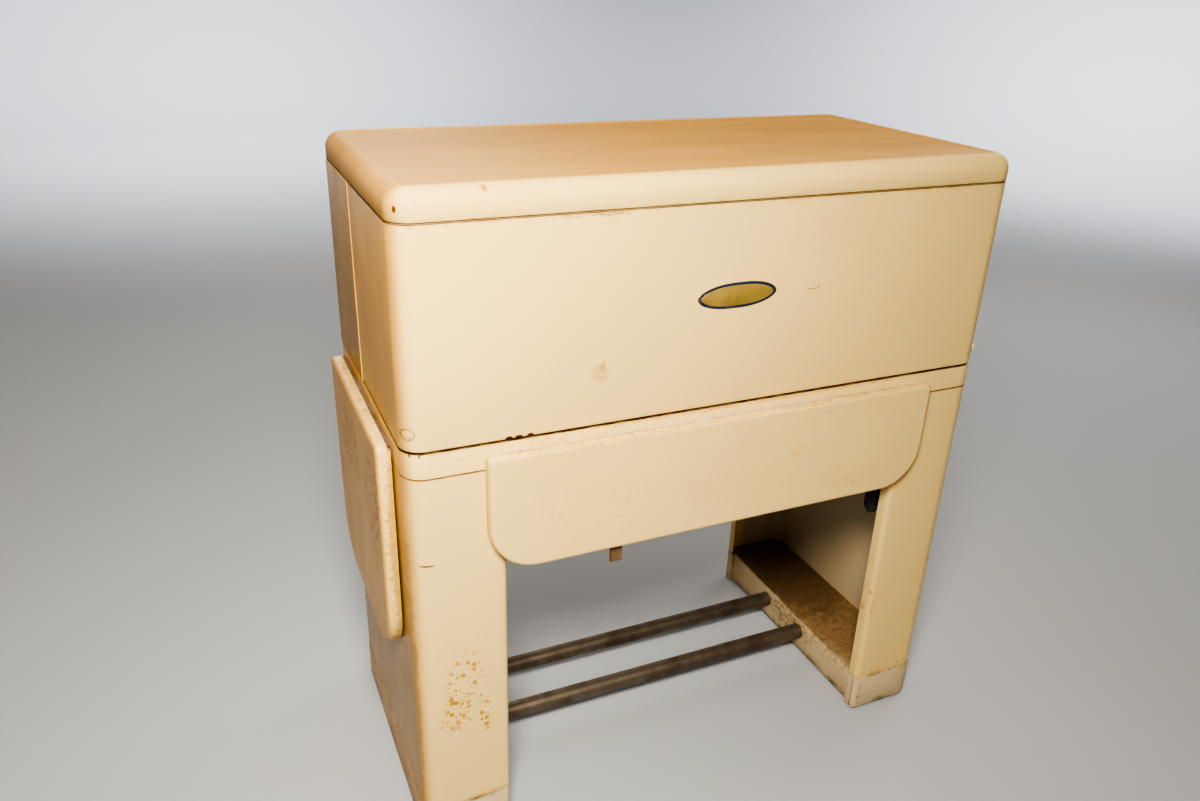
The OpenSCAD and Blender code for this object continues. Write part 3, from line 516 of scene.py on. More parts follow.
# ---- materials -----------------------------------------------------------------------
CREAM = (0.80, 0.588, 0.243)
side_lo, side_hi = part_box("side_leaf_skin")
leaf_lo, leaf_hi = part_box("front_leaf_skin")
button_lo, button_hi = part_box("hood_buttons")
LINE = (0.075, 0.030, 0.010)
ORANGE = (0.50, 0.255, 0.022)
BROWN = (0.22, 0.095, 0.028)
CHIP = (0.08, 0.025, 0.01)
EDGE_CHIP = (0.08, 0.03, 0.01)
LEAF_CLOUD = (0.58, 0.36, 0.11)
button_z = (button_lo.z + button_hi.z) / 2
button_ring = (0.0068, 0.03, 0.0066)
# Painted shade with some ageing: the paint turns yellow-brown within 14 mm of the left and right faces,
# less on the right.
SIDE_SHADE = [(0, LEFT + 0.014, LEFT + 0.001, 1.0), (0, RIGHT - 0.014, RIGHT - 0.001, 0.6)]

hood_paint = enamel(
    "hood_enamel", CREAM, yellow=0.30, rust=0.10, painted_shade=SIDE_SHADE,
    seams=[(2, Z_HOOD, 0.007, 0.25, BROWN), (2, Z_HOOD_TOP, 0.006, 0.35, RUST)],
    lines=[(2, Z_HOOD, 0.0017, LINE), (2, Z_HOOD_TOP, 0.0014, LINE)],
    stains_and_shade=[
        (at(240, 0, 684), (0.015, 0.03, 0.015), 0.50, (0.52, 0.31, 0.13), "plain"),
        (at(244, 0, 692), (0.005, 0.03, 0.008), 0.55, (0.42, 0.24, 0.10), "plain"),
        (at(262, 0, 869), (0.024, 0.02, 0.006), 0.55, (0.50, 0.28, 0.10), "mottle"),
        ((LEFT + 0.126, FRONT, Z_HOOD + 0.0020), (0.0060, 0.02, 0.0032), 1.0, CHIP, "plain"),
        ((LEFT + 0.138, FRONT, Z_HOOD + 0.0016), (0.0075, 0.02, 0.0038), 1.0, CHIP, "plain"),
        ((LEFT + 0.152, FRONT, Z_HOOD + 0.0020), (0.0055, 0.02, 0.0030), 1.0, CHIP, "plain"),
        (at(225, 0, 875), (0.060, 0.02, 0.0035), 0.8, (0.30, 0.12, 0.035), "grain"),
        (at(70, 0, 876), (0.014, 0.02, 0.0030), 0.8, (0.30, 0.12, 0.035), "grain"),
        (at(534, 0, 759), (0.011, 0.02, 0.0007), 0.9, (0.16, 0.08, 0.04), "plain"),
        (at(543, 0, 761), (0.0016, 0.02, 0.0014), 0.9, (0.16, 0.08, 0.04), "plain"),
        ((button_lo.x + 0.005, button_lo.y, button_z), button_ring, 0.65, BROWN, "ring"),
        ((button_hi.x - 0.005, button_lo.y, button_z), button_ring, 0.65, BROWN, "ring"),
    ],
)
cap_paint = enamel(
    "cap_enamel", CREAM, yellow=0.35, rust=0.12, gloss=0.40, shine=0.05,
    # Painted shade: the top, the rear and the left roll turn yellow-brown; the front roll stays cream.
    painted_shade=[(1, FRONT + 0.012, FRONT + 0.026, 1.0), (0, LEFT + 0.018, LEFT + 0.004, 0.8)],
    seams=[(2, Z_CAP, 0.005, 0.3, RUST)],
    lines=[(2, Z_CAP, 0.0016, LINE)],
    stains_and_shade=[
        (at(104, 6, 909), (0.0045, 0.02, 0.0035), 0.85, (0.52, 0.22, 0.02), "plain"),
        (at(104, 10, 911), (0.009, 0.008, 0.004), 0.40, (0.45, 0.22, 0.04), "mottle"),
        (at(9, 9, 893), (0.0022, 0.004, 0.0045), 0.95, (0.10, 0.03, 0.01), "plain"),
        (at(420, 200, 912), (0.36, 0.15, 0.02), 0.30, (0.50, 0.29, 0.09), "grain"),
    ],
)
back_paint = enamel(
    "rear_enamel", CREAM, yellow=0.45, rust=0.3, painted_shade=SIDE_SHADE,
    seams=[(2, Z_RIM, 0.012, 0.5, BROWN)],
    lines=[(2, Z_RIM, 0.003, LINE)],
)
rim_paint = enamel(
    "rim_enamel", CREAM, yellow=0.35, rust=0.12, painted_shade=SIDE_SHADE,
    seams=[(2, Z_RIM, 0.006, 0.25, BROWN)],
    lines=[(2, Z_RIM, 0.0010, LINE), (2, Z_LEG_TOP, 0.0022, (0.24, 0.11, 0.04))],
    stains_and_shade=[
        (at(160, 0, 608), (0.030, 0.02, 0.004), 0.8, RUST, "dots"),
        (at(9, 5, 612), (0.0015, 0.01, 0.004), 0.9, (0.06, 0.02, 0.01), "plain"),
        (at(19, 1, 611), (0.0015, 0.01, 0.003), 0.9, (0.06, 0.02, 0.01), "plain"),
        (at(64, 0, 600), (0.0016, 0.01, 0.0016), 0.8, BROWN, "plain"),
        (at(470, 0, 611), (0.32, 0.02, 0.0025), 0.55, (0.40, 0.20, 0.06), "grain"),
        (at(200, 0, 603), (0.09, 0.02, 0.004), 0.55, OCHRE, "dots"),
    ],
)
leg_paint = enamel(
    "leg_enamel", CREAM, yellow=0.35, rust=0.12, painted_shade=SIDE_SHADE, inside=(0.56, 0.45, 0.29),
    seams=[(2, Z_BASE, 0.010, 0.45, (0.52, 0.24, 0.05))],
    lines=[(2, Z_LEG_TOP, 0.0014, (0.24, 0.11, 0.04)), (2, Z_BASE, 0.0018, (0.30, 0.13, 0.03))],
    stains_and_shade=[
        # Painted shade: the whole left face of the left leg darkened to brown.
        (at(0, 200, 200), (0.008, 0.36, 0.40), 0.75, (0.34, 0.20, 0.070), "plain"),
        (at(66, 0, 265), (0.036, 0.02, 0.075), 0.95, ORANGE, "dots"),
        (at(50, 0, 236), (0.022, 0.02, 0.050), 0.95, ORANGE, "dots"),
        (at(38, 0, 214), (0.016, 0.02, 0.018), 0.95, ORANGE, "dots"),
        (at(88, 0, 210), (0.012, 0.02, 0.035), 0.95, ORANGE, "dots"),
        (at(60, 0, 330), (0.045, 0.02, 0.05), 0.6, ORANGE, "specks"),
        (at(5, 5, 465), (0.010, 0.012, 0.0030), 1.0, (0.12, 0.04, 0.01), "mottle"),
        (at(20, 1, 462), (0.012, 0.01, 0.0016), 0.90, (0.20, 0.07, 0.012), "plain"),
        (at(12, 2, 436), (0.010, 0.01, 0.0026), 1.0, (0.12, 0.04, 0.01), "mottle"),
        (at(100, 0, 70), (0.030, 0.02, 0.006), 0.85, ORANGE, "mottle"),
        (at(799, 0, 89), (0.007, 0.03, 0.006), 0.8, (0.55, 0.20, 0.02), "mottle"),
        (at(780, 0, 75), (0.06, 0.03, 0.012), 0.55, (0.50, 0.21, 0.04), "mottle"),
        (at(725, 6, 215), (0.008, 0.03, 0.045), 0.75, (0.50, 0.18, 0.03), "mottle"),
    ],
)
plinth_paint = enamel(
    "plinth_enamel", (0.68, 0.54, 0.33), yellow=0.5, rust=0.30, dusty=0.22, gloss=0.38, painted_shade=SIDE_SHADE,
    seams=[(2, Z_BASE, 0.006, 0.6, GRIME), (2, Z_FEET, 0.014, 0.8, GRIME)],
    stains_and_shade=[
        (at(790, 190, 66), (0.110, 0.24, 0.0050), 0.95, (0.26, 0.160, 0.074), "plain"),
        # Partly dirt, partly painted shade: the sill darker still towards its far end.
        (at(790, 320, 66), (0.110, 0.20, 0.0045), 0.90, (0.125, 0.074, 0.036), "plain"),
        (at(790, 208, 66), (0.100, 0.25, 0.0045), 0.55, (0.070, 0.040, 0.018), "mottle"),
        (at(728, 120, 60), (0.008, 0.16, 0.030), 0.70, (0.24, 0.14, 0.06), "mottle"),
        (at(729, 205, 40), (0.008, 0.08, 0.030), 0.70, (0.15, 0.07, 0.02), "grain"),
        (at(73, 208, 66), (0.062, 0.26, 0.0045), 0.93, (0.105, 0.052, 0.018), "plain"),
        (at(733, 3, 40), (0.006, 0.01, 0.030), 0.85, (0.16, 0.05, 0.01), "mottle"),
        (at(836, 3, 40), (0.008, 0.01, 0.022), 0.75, (0.16, 0.05, 0.01), "mottle"),
    ],
)
front_leaf_paint = enamel(
    "front_leaf_enamel", CREAM, yellow=0.40, rust=0.15, dusty=0.03,
    seams=[(2, leaf_hi.z, 0.004, 0.35, (0.52, 0.27, 0.08))],
    stains_and_shade=[
        (at(180, -16, 520), (0.040, 0.03, 0.050), 0.34, LEAF_CLOUD, "mottle"),
        (at(270, -16, 520), (0.045, 0.03, 0.025), 0.34, LEAF_CLOUD, "mottle"),
        (at(400, -16, 505), (0.050, 0.03, 0.030), 0.34, LEAF_CLOUD, "mottle"),
        (at(530, -16, 535), (0.018, 0.03, 0.010), 0.75, (0.64, 0.34, 0.06), "mottle"),
        (at(620, -16, 480), (0.060, 0.03, 0.022), 0.40, (0.60, 0.38, 0.12), "mottle"),
        (at(250, -14, 600), (0.14, 0.02, 0.004), 0.75, (0.50, 0.26, 0.08), "mottle"),
        (at(140, -12, 602), (0.032, 0.02, 0.003), 0.90, (0.34, 0.15, 0.05), "mottle"),
        (at(600, -12, 602), (0.16, 0.02, 0.003), 0.70, (0.42, 0.23, 0.08), "mottle"),
        (at(300, -12, 602), (0.020, 0.02, 0.003), 0.75, (0.36, 0.14, 0.03), "mottle"),
        (at(574, -17, 586), (0.0016, 0.01, 0.0016), 0.9, (0.12, 0.05, 0.02), "plain"),
    ],
)
side_leaf_paint = enamel(
    "side_leaf_enamel", CREAM, yellow=0.5, rust=0.35, dusty=0.04,
    # Painted shade: the leaf's outer face turns yellow-brown.
    painted_shade=[(0, side_lo.x + 0.006, side_lo.x + 0.0005, 1.0)],
    seams=[(2, side_hi.z, 0.005, 0.5, (0.50, 0.27, 0.08))],
    stains_and_shade=[
        ((side_hi.x, side_lo.y, 0.46), (0.0170, 0.020, 0.19), 1.0, (0.36, 0.19, 0.025), "mottle"),
        ((side_hi.x, side_lo.y, 0.46), (0.0110, 0.020, 0.19), 0.75, (0.50, 0.31, 0.06), "plain"),
        ((side_lo.x + 0.009, side_lo.y + 0.15, side_hi.z), (0.010, 0.14, 0.005), 0.85, (0.42, 0.25, 0.07),
         "mottle"),
        ((side_lo.x + 0.003, side_lo.y, 0.547), (0.009, 0.006, 0.0030), 1.0, EDGE_CHIP, "mottle"),
        ((side_lo.x + 0.007, side_lo.y, 0.468), (0.009, 0.006, 0.0024), 1.0, EDGE_CHIP, "mottle"),
        ((side_lo.x + 0.010, side_lo.y, 0.443), (0.007, 0.006, 0.0022), 1.0, EDGE_CHIP, "mottle"),
        ((side_lo.x, side_lo.y + 0.05, 0.50), (0.004, 0.06, 0.09), 0.75, (0.20, 0.07, 0.02), "dots"),
        ((side_lo.x, side_lo.y + 0.20, 0.52), (0.004, 0.10, 0.06), 0.65, (0.20, 0.07, 0.02), "dots"),
        ((side_hi.x - 0.002, side_lo.y + 0.03, 0.315), (0.010, 0.04, 0.03), 0.65, (0.60, 0.30, 0.04),
         "mottle"),
    ],
)
inner_paint = enamel("inner_enamel", (0.46, 0.31, 0.15), yellow=0.6, rust=0.5, dusty=0.35, gloss=0.42)
deck_paint = enamel("deck_enamel", (0.70, 0.57, 0.36), yellow=0.4, rust=0.3, dusty=0.22, gloss=0.34)
shoe_paint = enamel("shoe_enamel", (0.80, 0.72, 0.55), yellow=0.3, rust=0.2, gloss=0.22)
# Painted shade: the braces' own paint is cream; they are coloured the dark brown of their shade under the
# leaves.
brace_shade_paint = enamel("brace_enamel", (0.13, 0.08, 0.042), yellow=0.6, rust=0.8, dusty=0.3, gloss=0.42)

rail_metal = metal("rail_steel", (0.195, 0.157, 0.120), (0.085, 0.060, 0.040), rough=0.44, dirt=0.75,
                   along=(0.05, 1, 1), metallic=0.75)
hinge_metal = metal("hinge_steel", (0.36, 0.30, 0.22), (0.18, 0.095, 0.04), rough=0.42, dirt=0.8,
                    speckle=0.7, metallic=0.8)
hinge_paint = enamel(
    "hinge_enamel", (0.60, 0.53, 0.40), yellow=0.3, rust=0.6, dusty=0.25, gloss=0.40,
    stains_and_shade=[
        (at(200, 0, 604), (0.10, 0.02, 0.004), 0.70, (0.34, 0.16, 0.05), "mottle"),
        (at(700, 0, 610), (0.03, 0.02, 0.003), 0.90, (0.12, 0.05, 0.02), "mottle"),
    ],
)
shaft_metal = metal("bright_shaft", (0.56, 0.56, 0.55), (0.30, 0.27, 0.23), rough=0.26, dirt=0.3,
                    along=(0.1, 1, 1), speckle=0.1)
drum_metal = metal("drum_steel", (0.46, 0.46, 0.46), (0.22, 0.19, 0.15), rough=0.36, dirt=0.5)
chrome = metal("bar_chrome", (0.74, 0.74, 0.73), (0.44, 0.40, 0.34), rough=0.14, dirt=0.25, speckle=0.2)
shoe_metal = metal("shoe_chrome", (0.70, 0.70, 0.69), (0.42, 0.34, 0.24), rough=0.16, dirt=0.3,
                   along=(0.05, 1, 1), speckle=0.1)
bronze = metal("bronze", (0.58, 0.38, 0.16), (0.25, 0.15, 0.06), rough=0.32, dirt=0.5, speckle=0.0)
element = metal("element_steel", (0.25, 0.18, 0.15), (0.12, 0.07, 0.06), rough=0.5, dirt=0.6)
casting = plain("grey_casting", (0.155, 0.165, 0.17), 0.5, grain=260.0, depth=0.35, spread=0.25)
iron = metal("pulley_iron", (0.22, 0.22, 0.22), (0.11, 0.08, 0.06), rough=0.4, dirt=0.5)
motor_paint = plain("motor_paint", (0.055, 0.062, 0.066), 0.4, grain=120.0, depth=0.12, spread=0.3,
                    coat=0.2)
rubber = plain("black_rubber", (0.022, 0.021, 0.020), 0.68, grain=420.0, depth=0.25, spread=0.3)
belt = plain("belt_rubber", (0.028, 0.026, 0.024), 0.75, grain=300.0, depth=0.35, spread=0.3)
lever_paint = plain("lever_steel", (0.045, 0.042, 0.040), 0.45, depth=0.15, spread=0.35, coat=0.1)
plastic = plain("black_plastic", (0.018, 0.016, 0.015), 0.24, grain=500.0, depth=0.05, spread=0.3,
                coat=0.3)
board = plain("fibreboard", (0.24, 0.145, 0.075), 0.82, grain=700.0, depth=0.55, spread=0.28)
lamp = plain("lamp_red", (0.42, 0.02, 0.012), 0.14, grain=90.0, depth=0.1, spread=0.2, coat=0.6)
felt = plain("padding_felt", (0.66, 0.60, 0.47), 0.93, grain=900.0, depth=0.7, spread=0.15, sheen=0.4)
cover_cloth = weave("cover_cloth", (0.78, 0.73, 0.60))

NODE_PAINT = (
    (rubber, ("floor_glides", "hood_bumpers", "knee_pad", "cord_bushing")),
    (rail_metal, ("front_foot_rail", "rear_foot_rail")),
    (inner_paint, ("front_apron", "rear_apron", "cross_rails", "hood_frame")),
    (deck_paint, ("work_deck",)),
    (hood_paint, ("hood_buttons",)),
    (hinge_metal, ("hood_hinges_fixed", "hood_hinges_moving", "hinge_pins")),
    (hinge_metal, ("side_hinge_fixed", "side_hinge_moving")),
    (board, ("front_leaf_core", "side_leaf_core")),
    (hinge_paint, ("front_hinge_fixed", "front_hinge_moving")),
    (brace_shade_paint, ("front_leaf_brace", "side_leaf_brace")),
    (shaft_metal, ("roll_shaft", "worm_shaft", "rotor")),
    (drum_metal, ("roll_drum",)),
    (casting, ("gear_case", "gear_case_cover", "shoe_arms", "pillow_blocks")),
    (bronze, ("worm_wheel",)),
    (iron, ("driven_pulley", "motor_pulley")),
    (motor_paint, ("motor_housing", "motor_cradle")),
    (belt, ("drive_belt",)),
    (shoe_metal, ("shoe_plate",)),
    (shoe_paint, ("shoe_housing", "control_panel")),
    (element, ("heating_elements",)),
    (lever_paint, ("knee_lever",)),
    (chrome, ("press_bar",)),
    (plastic, ("thermostat_knob", "motor_switch", "heat_switch")),
    (lamp, ("pilot_lamp",)),
)
for paint, node_names in NODE_PAINT:
    for node_name in node_names:
        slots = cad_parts[node_name].data.materials
        slots.clear()
        slots.append(paint)

# ---- hood ----------------------------------------------------------------------------
CORNER_STEPS = 14
HEM, SHORT_HEM = 0.0100, 0.0031
WING_LAP = 0.019


def hood_section(y):
    """The hood's sheet: an eased top edge and a hem at the bottom, short where the rear wings lap it."""
    deep = HEM if y < SEAM_Y - WING_LAP + 0.0005 else SHORT_HEM
    zt, zb, r = Z_HOOD_TOP, Z_HOOD, 0.0028
    outer = [(-0.0005, zt), (-0.0001, zt - 0.0002), (0.0, zt - 0.0008)]
    low = bend(-r, zb + r, r, 0, -90, 5)
    hem = [(-deep, zb), (-deep, zb + SHEET)]
    back = bend(-r, zb + r, r - SHEET, -90, 0, 4)
    return outer + low + hem + back + [(-SHEET, zt - 0.0003), (-0.0011, zt)]


hood_path = [(LEFT, SEAM_Y, -1, 0)] + run((LEFT, SEAM_Y - WING_LAP), (LEFT, FRONT + CORNER), -1, 0, 4)
hood_path += arc(LEFT + CORNER, FRONT + CORNER, CORNER, 180, 270, CORNER_STEPS)
hood_path += run((LEFT + CORNER, FRONT), (RIGHT - CORNER, FRONT), 0, -1, 12)[1:]
hood_path += arc(RIGHT - CORNER, FRONT + CORNER, CORNER, 270, 360, CORNER_STEPS)
hood_path += run((RIGHT, FRONT + CORNER), (RIGHT, SEAM_Y - WING_LAP), 1, 0, 4)[1:]
hood_path += [(RIGHT, y, 1, 0) for y in (SEAM_Y - WING_LAP, SEAM_Y - WING_LAP + 0.001, SEAM_Y)]
piece("hood_sheet", *sweep(hood_path, hood_section), "hood", hood_paint, "cream_enamel",
      replaces=("hood_front",))

TOP_ROLL = 0.021


def top_roll(angle):
    """A ring of the cap's rolled edge, at an angle from upright to level."""
    inset = TOP_ROLL - TOP_ROLL * math.cos(math.radians(angle))
    return inset, CORNER - inset, Z_TOP - TOP_ROLL + TOP_ROLL * math.sin(math.radians(angle))


# Rings as (inset, corner radius, height): the lower edge, the rolled edge, the sunk field's edge.
cap_rings = [(0.0015, 0.0265, Z_CAP + 0.0002), (0.0012, 0.0268, Z_CAP), (0.0004, 0.0276, Z_CAP + 0.0001),
             (0.0, CORNER, Z_CAP + 0.0007)]
cap_rings += [top_roll(angle) for angle in range(0, 91, 9)]
cap_rings += [(0.0222, 0.0085, Z_TOP), (0.0228, 0.0100, Z_TOP - 0.0003), (0.0234, 0.0112, Z_TOP - 0.0010),
              (0.0240, 0.0120, Z_TOP - 0.0015), (0.0250, 0.0122, Z_TOP - 0.0016)]
under_rings = [(0.0015, 0.0265, Z_CAP + 0.0002), (0.0016, 0.0264, Z_TOP - TOP_ROLL),
               (0.0080, 0.0200, Z_TOP - 0.0080), (0.0210, 0.0100, Z_TOP - 0.0040)]
outer_cap = stacked([loop_ring(*r) for r in cap_rings], fill_last=True)
inner_cap = stacked([loop_ring(*r) for r in under_rings], fill_last=True)
inner_cap = (inner_cap[0], [tuple(reversed(f)) for f in inner_cap[1]])
piece("top_sheet", *joined(outer_cap, inner_cap), "hood", cap_paint, "cream_enamel", sharp=50,
      replaces=("top_cap",))


# The rear casing's sheet as (out, height), with a foot turned in on the base rim.
rear_low = Z_HOOD - 0.0008
rear_section = [(0.0006, Z_HOOD_TOP), (0.0010, Z_HOOD_TOP - 0.0005), (0.0010, rear_low + 0.0006),
                (0.0006, rear_low), (-0.0004, rear_low), (-0.0004, Z_RIM), (-0.0104, Z_RIM),
                (-0.0104, Z_RIM + 0.0015), (-0.0008, Z_RIM + 0.0020), (-0.0005, rear_low + 0.0030),
                (-0.0005, Z_HOOD_TOP)]
wing = SEAM_Y + 0.0012
rear_path = run((RIGHT, wing), (RIGHT, BACK - CORNER), 1, 0, 3)
rear_path += arc(RIGHT - CORNER, BACK - CORNER, CORNER, 0, 90, CORNER_STEPS)
rear_path += run((RIGHT - CORNER, BACK), (LEFT + CORNER, BACK), 0, 1, 8)[1:]
rear_path += arc(LEFT + CORNER, BACK - CORNER, CORNER, 90, 180, CORNER_STEPS)
rear_path += [(LEFT, wing, -1, 0)]
lap_x, lap_end = LEFT + 0.0019, LEFT + 0.0034
strip = block((LEFT + 0.0004, SEAM_Y + 0.004, Z_HOOD), (lap_end, SEAM_Y + 0.013, Z_HOOD_TOP))
cover_strip = block((lap_x, SEAM_Y - 0.014, Z_HOOD + 0.0035), (lap_end, SEAM_Y + 0.006, Z_HOOD_TOP))
strips = joined(strip, cover_strip)
piece("rear_sheet", *joined(sweep(rear_path, rear_section), strips, mirrored(*strips)), "cabinet",
      back_paint, "cream_enamel", replaces=("hood_back",))

# ---- base ------------------------------------------------------------------------------
rim_low = Z_LEG_TOP + 0.0012
rim_rings = [(0.0006, 0.0274, rim_low), (0.0, CORNER, rim_low + 0.0006), (0.0, CORNER, Z_RIM - 0.0016),
             (0.0005, 0.0275, Z_RIM - 0.0005), (0.0016, 0.0264, Z_RIM), (0.0120, 0.0160, Z_RIM),
             (0.0120, 0.0160, Z_RIM - 0.0015), (0.0016, 0.0264, Z_RIM - 0.0016),
             (0.0015, 0.0265, rim_low + 0.0004)]
leg_in, bend_r = 0.122, 0.008
FLANGE = 0.020


def leg_path(flange=FLANGE, inner=leg_in):
    """Round a leg's casing, from the front flange by the side to the rear flange."""
    r = bend_r
    p = run((LEFT + inner, FRONT + flange), (LEFT + inner, FRONT + r), 1, 0, 1)
    p += arc(LEFT + inner - r, FRONT + r, r, 0, -90, 8)
    p += run((LEFT + inner - r, FRONT), (LEFT + CORNER, FRONT), 0, -1, 3)[1:]
    p += arc(LEFT + CORNER, FRONT + CORNER, CORNER, 270, 180, CORNER_STEPS)
    p += run((LEFT, FRONT + CORNER), (LEFT, BACK - CORNER), -1, 0, 5)[1:]
    p += arc(LEFT + CORNER, BACK - CORNER, CORNER, 180, 90, CORNER_STEPS)
    p += run((LEFT + CORNER, BACK), (LEFT + inner - r, BACK), 0, 1, 3)[1:]
    p += arc(LEFT + inner - r, BACK - r, r, 90, 0, 8)
    return p + [(LEFT + inner, BACK - flange, 1, 0)]


def strip_section(a, b, z0, z1):
    """A flat strip between b and a outwards, with its outer edges eased."""
    soft = 0.0005
    return [(b, z0), (b, z1), (a - soft, z1), (a, z1 - soft), (a, z0 + soft), (a - soft, z0)]


lap_section = strip_section(-0.0016, -0.0031, rim_low - 0.020, Z_RIM - 0.003)
lap = sweep(leg_path(inner=0.108, flange=0.0081), lap_section)
band = stacked([loop_ring(*r) for r in rim_rings], closed=True)
piece("rim_band", *joined(band, lap, mirrored(*lap)), "cabinet", rim_paint, "cream_enamel",
      replaces=("base_rim",))
leg_mesh = sweep(leg_path(), strip_section(0.0, -SHEET, Z_BASE, Z_LEG_TOP))
piece("left_leg", *leg_mesh, "cabinet", leg_paint, "cream_enamel", replaces=("left_leg_shell",))
piece("right_leg", *mirrored(*leg_mesh), "cabinet", leg_paint, "cream_enamel",
      replaces=("right_leg_shell",))


def plinth_ring(inset, z):
    """One ring of a base channel, concentric with the leg above it, stepped in beside the knee space."""
    proud = 0.001 - inset
    inner = LEFT + leg_in - inset
    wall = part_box("left_base_channel")[1].x - 0.006 - inset
    front, back = FRONT + FLANGE - inset, BACK - FLANGE + inset
    bend_x = LEFT + leg_in - bend_r - proud
    pts = arc(LEFT + CORNER, FRONT + CORNER, CORNER + proud, 180, 270, 10)
    pts += arc(bend_x, FRONT + bend_r, bend_r + proud, -90, 0, 6)
    pts += [(inner, front, 0, 0), (wall, front, 0, 0)]
    pts += [(wall, FRONT + D * k / 8, 0, 0) for k in range(1, 8)]
    pts += [(wall, back, 0, 0), (inner, back, 0, 0)]
    pts += arc(bend_x, BACK - bend_r, bend_r + proud, 0, 90, 6)
    pts += arc(LEFT + CORNER, BACK - CORNER, CORNER + proud, 90, 180, 10)
    return [(x, y, z) for x, y, _, _ in pts]


# Rings as (inset, height), from under the top down the inner wall and up the outer wall to the top.
plinth_rings = ((0.0015, Z_BASE - 0.003), (0.0015, Z_FEET), (0.0003, Z_FEET), (0.0, Z_FEET + 0.0004),
                (0.0, Z_BASE - 0.0022), (0.0003, Z_BASE - 0.0009), (0.0009, Z_BASE - 0.0002),
                (0.0018, Z_BASE))
shell = stacked([plinth_ring(*r) for r in plinth_rings], fill_first=True, fill_last=True)
piece("left_plinth", *shell, "cabinet", plinth_paint, "plinth_enamel", replaces=("left_base_channel",))
piece("right_plinth", *mirrored(*shell), "cabinet", plinth_paint, "plinth_enamel",
      replaces=("right_base_channel",))


# ---- drop leaves -----------------------------------------------------------------------
LEAF_TOP_R, LEAF_EASE = 0.009, 0.0055
REBATE_DEEP, REBATE_HIGH = 0.0035, 0.0056


def leaf_mesh(w, h, t, corner, notch=None):
    """The pressed tray of a leaf, with a rebate for its hinge along the top of its back.

    Its own axes are x along the hinge, y from the face to the back, z up; its back is y 0, its top z 0.
    notch is (from, to, depth) for the brace's slot in the lower edge.
    """
    small = LEAF_TOP_R
    outline = []

    def add(cx, cz, r, a0, a1, n):
        for k in range(n + 1):
            a = math.radians(a0 + (a1 - a0) * k / n)
            outline.append((cx, cz, r, math.cos(a), math.sin(a)))

    def back_edge(cx, z):
        """Where the back edge stands at a point of the outline."""
        if notch and z < -h + 0.0001 and notch[0] < cx < notch[1]:
            return -notch[2]
        return -REBATE_DEEP if z > -REBATE_HIGH else 0.0

    lip = math.degrees(math.asin(1 - REBATE_HIGH / small))
    add(small, -small, small, 180, 180.1 - lip, 2)
    add(small, -small, small, 179.9 - lip, 90, 5)
    add(w - small, -small, small, 90, lip + 0.1, 5)
    add(w - small, -small, small, lip - 0.1, 0, 2)
    add(w - corner, -h + corner, corner, 0, -90, 18)
    if notch:
        for x in (notch[1] + 0.00001, notch[1] - 0.00001, notch[0] + 0.00001, notch[0] - 0.00001):
            outline.append((x, -h, 0.0, 0.0, -1.0))
    add(corner, -h + corner, corner, -90, -180, 18)
    # The back edge is a flat 1.3 mm wide with a small chamfer; the face has an eased edge.
    rows = []
    for inset, behind in ((0.0015, 0.0), (0.0002, 0.0), (0.0, -0.0003)):
        rows.append([(cx + (r - inset) * c, behind + back_edge(cx, cz + r * s), cz + (r - inset) * s)
                     for cx, cz, r, c, s in outline])
    ease = [(LEAF_EASE * (1 - math.cos(math.radians(a))), LEAF_EASE * (1 - math.sin(math.radians(a))) - t)
            for a in range(0, 91, 10)]
    for inset, y in ease + [(LEAF_EASE + 0.003, -t)]:
        rows.append([(cx + (r - inset) * c, y, cz + (r - inset) * s) for cx, cz, r, c, s in outline])
    return stacked(rows, fill_last=True)


lo, hi = leaf_lo, leaf_hi
brace_lo, brace_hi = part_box("front_leaf_brace")
mid = (brace_lo.x + brace_hi.x) / 2 - lo.x
notch = (mid - 0.010, mid + 0.010, 0.0058)
v, f = leaf_mesh(hi.x - lo.x, hi.z - lo.z, hi.y - lo.y, 0.063, notch)
piece("front_leaf_tray", [(x + lo.x, y + hi.y, z + hi.z) for x, y, z in v], f, "front_leaf",
      front_leaf_paint, "cream_enamel", replaces=("front_leaf_skin",))
lo, hi = side_lo, side_hi
v, f = leaf_mesh(hi.y - lo.y, hi.z - lo.z, hi.x - lo.x, 0.075)
piece("side_leaf_tray", [(hi.x + y, hi.y - x, z + hi.z) for x, y, z in v], f, "side_leaf",
      side_leaf_paint, "cream_enamel", replaces=("side_leaf_skin",))

# ---- badge -----------------------------------------------------------------------------
gold = metal("badge_gold", (0.60, 0.42, 0.10), (0.26, 0.16, 0.05), rough=0.34, dirt=0.6,
             metallic=0.6, speckle=0.1)
navy = plain("badge_blue", (0.022, 0.028, 0.055), 0.3, grain=300.0, depth=0.1, spread=0.3, coat=0.3)
lo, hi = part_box("hood_badge")
bx, bz = (lo.x + hi.x) / 2, (lo.z + hi.z) / 2


LEAN = 0.22
PLAQUE_SIDES = 64


def plaque(half, high, y0, y1, soft):
    """A leaning oval plaque on the hood's face."""
    rows = []
    for grow, y in ((0.0, y0), (0.0, y1 + soft), (-soft * 0.4, y1 + soft * 0.3), (-soft, y1)):
        row = []
        for k in range(PLAQUE_SIDES):
            a = 2 * math.pi * k / PLAQUE_SIDES
            x = math.copysign(abs(math.cos(a)) ** 0.8, math.cos(a)) * (half + grow)
            z = math.copysign(abs(math.sin(a)) ** 1.15, math.sin(a)) * (high + grow)
            row.append((bx + x + LEAN * z, y, bz + z))
        rows.append(row)
    verts, faces = stacked(rows, fill_last=True)
    return verts, [tuple(reversed(fc)) for fc in faces]


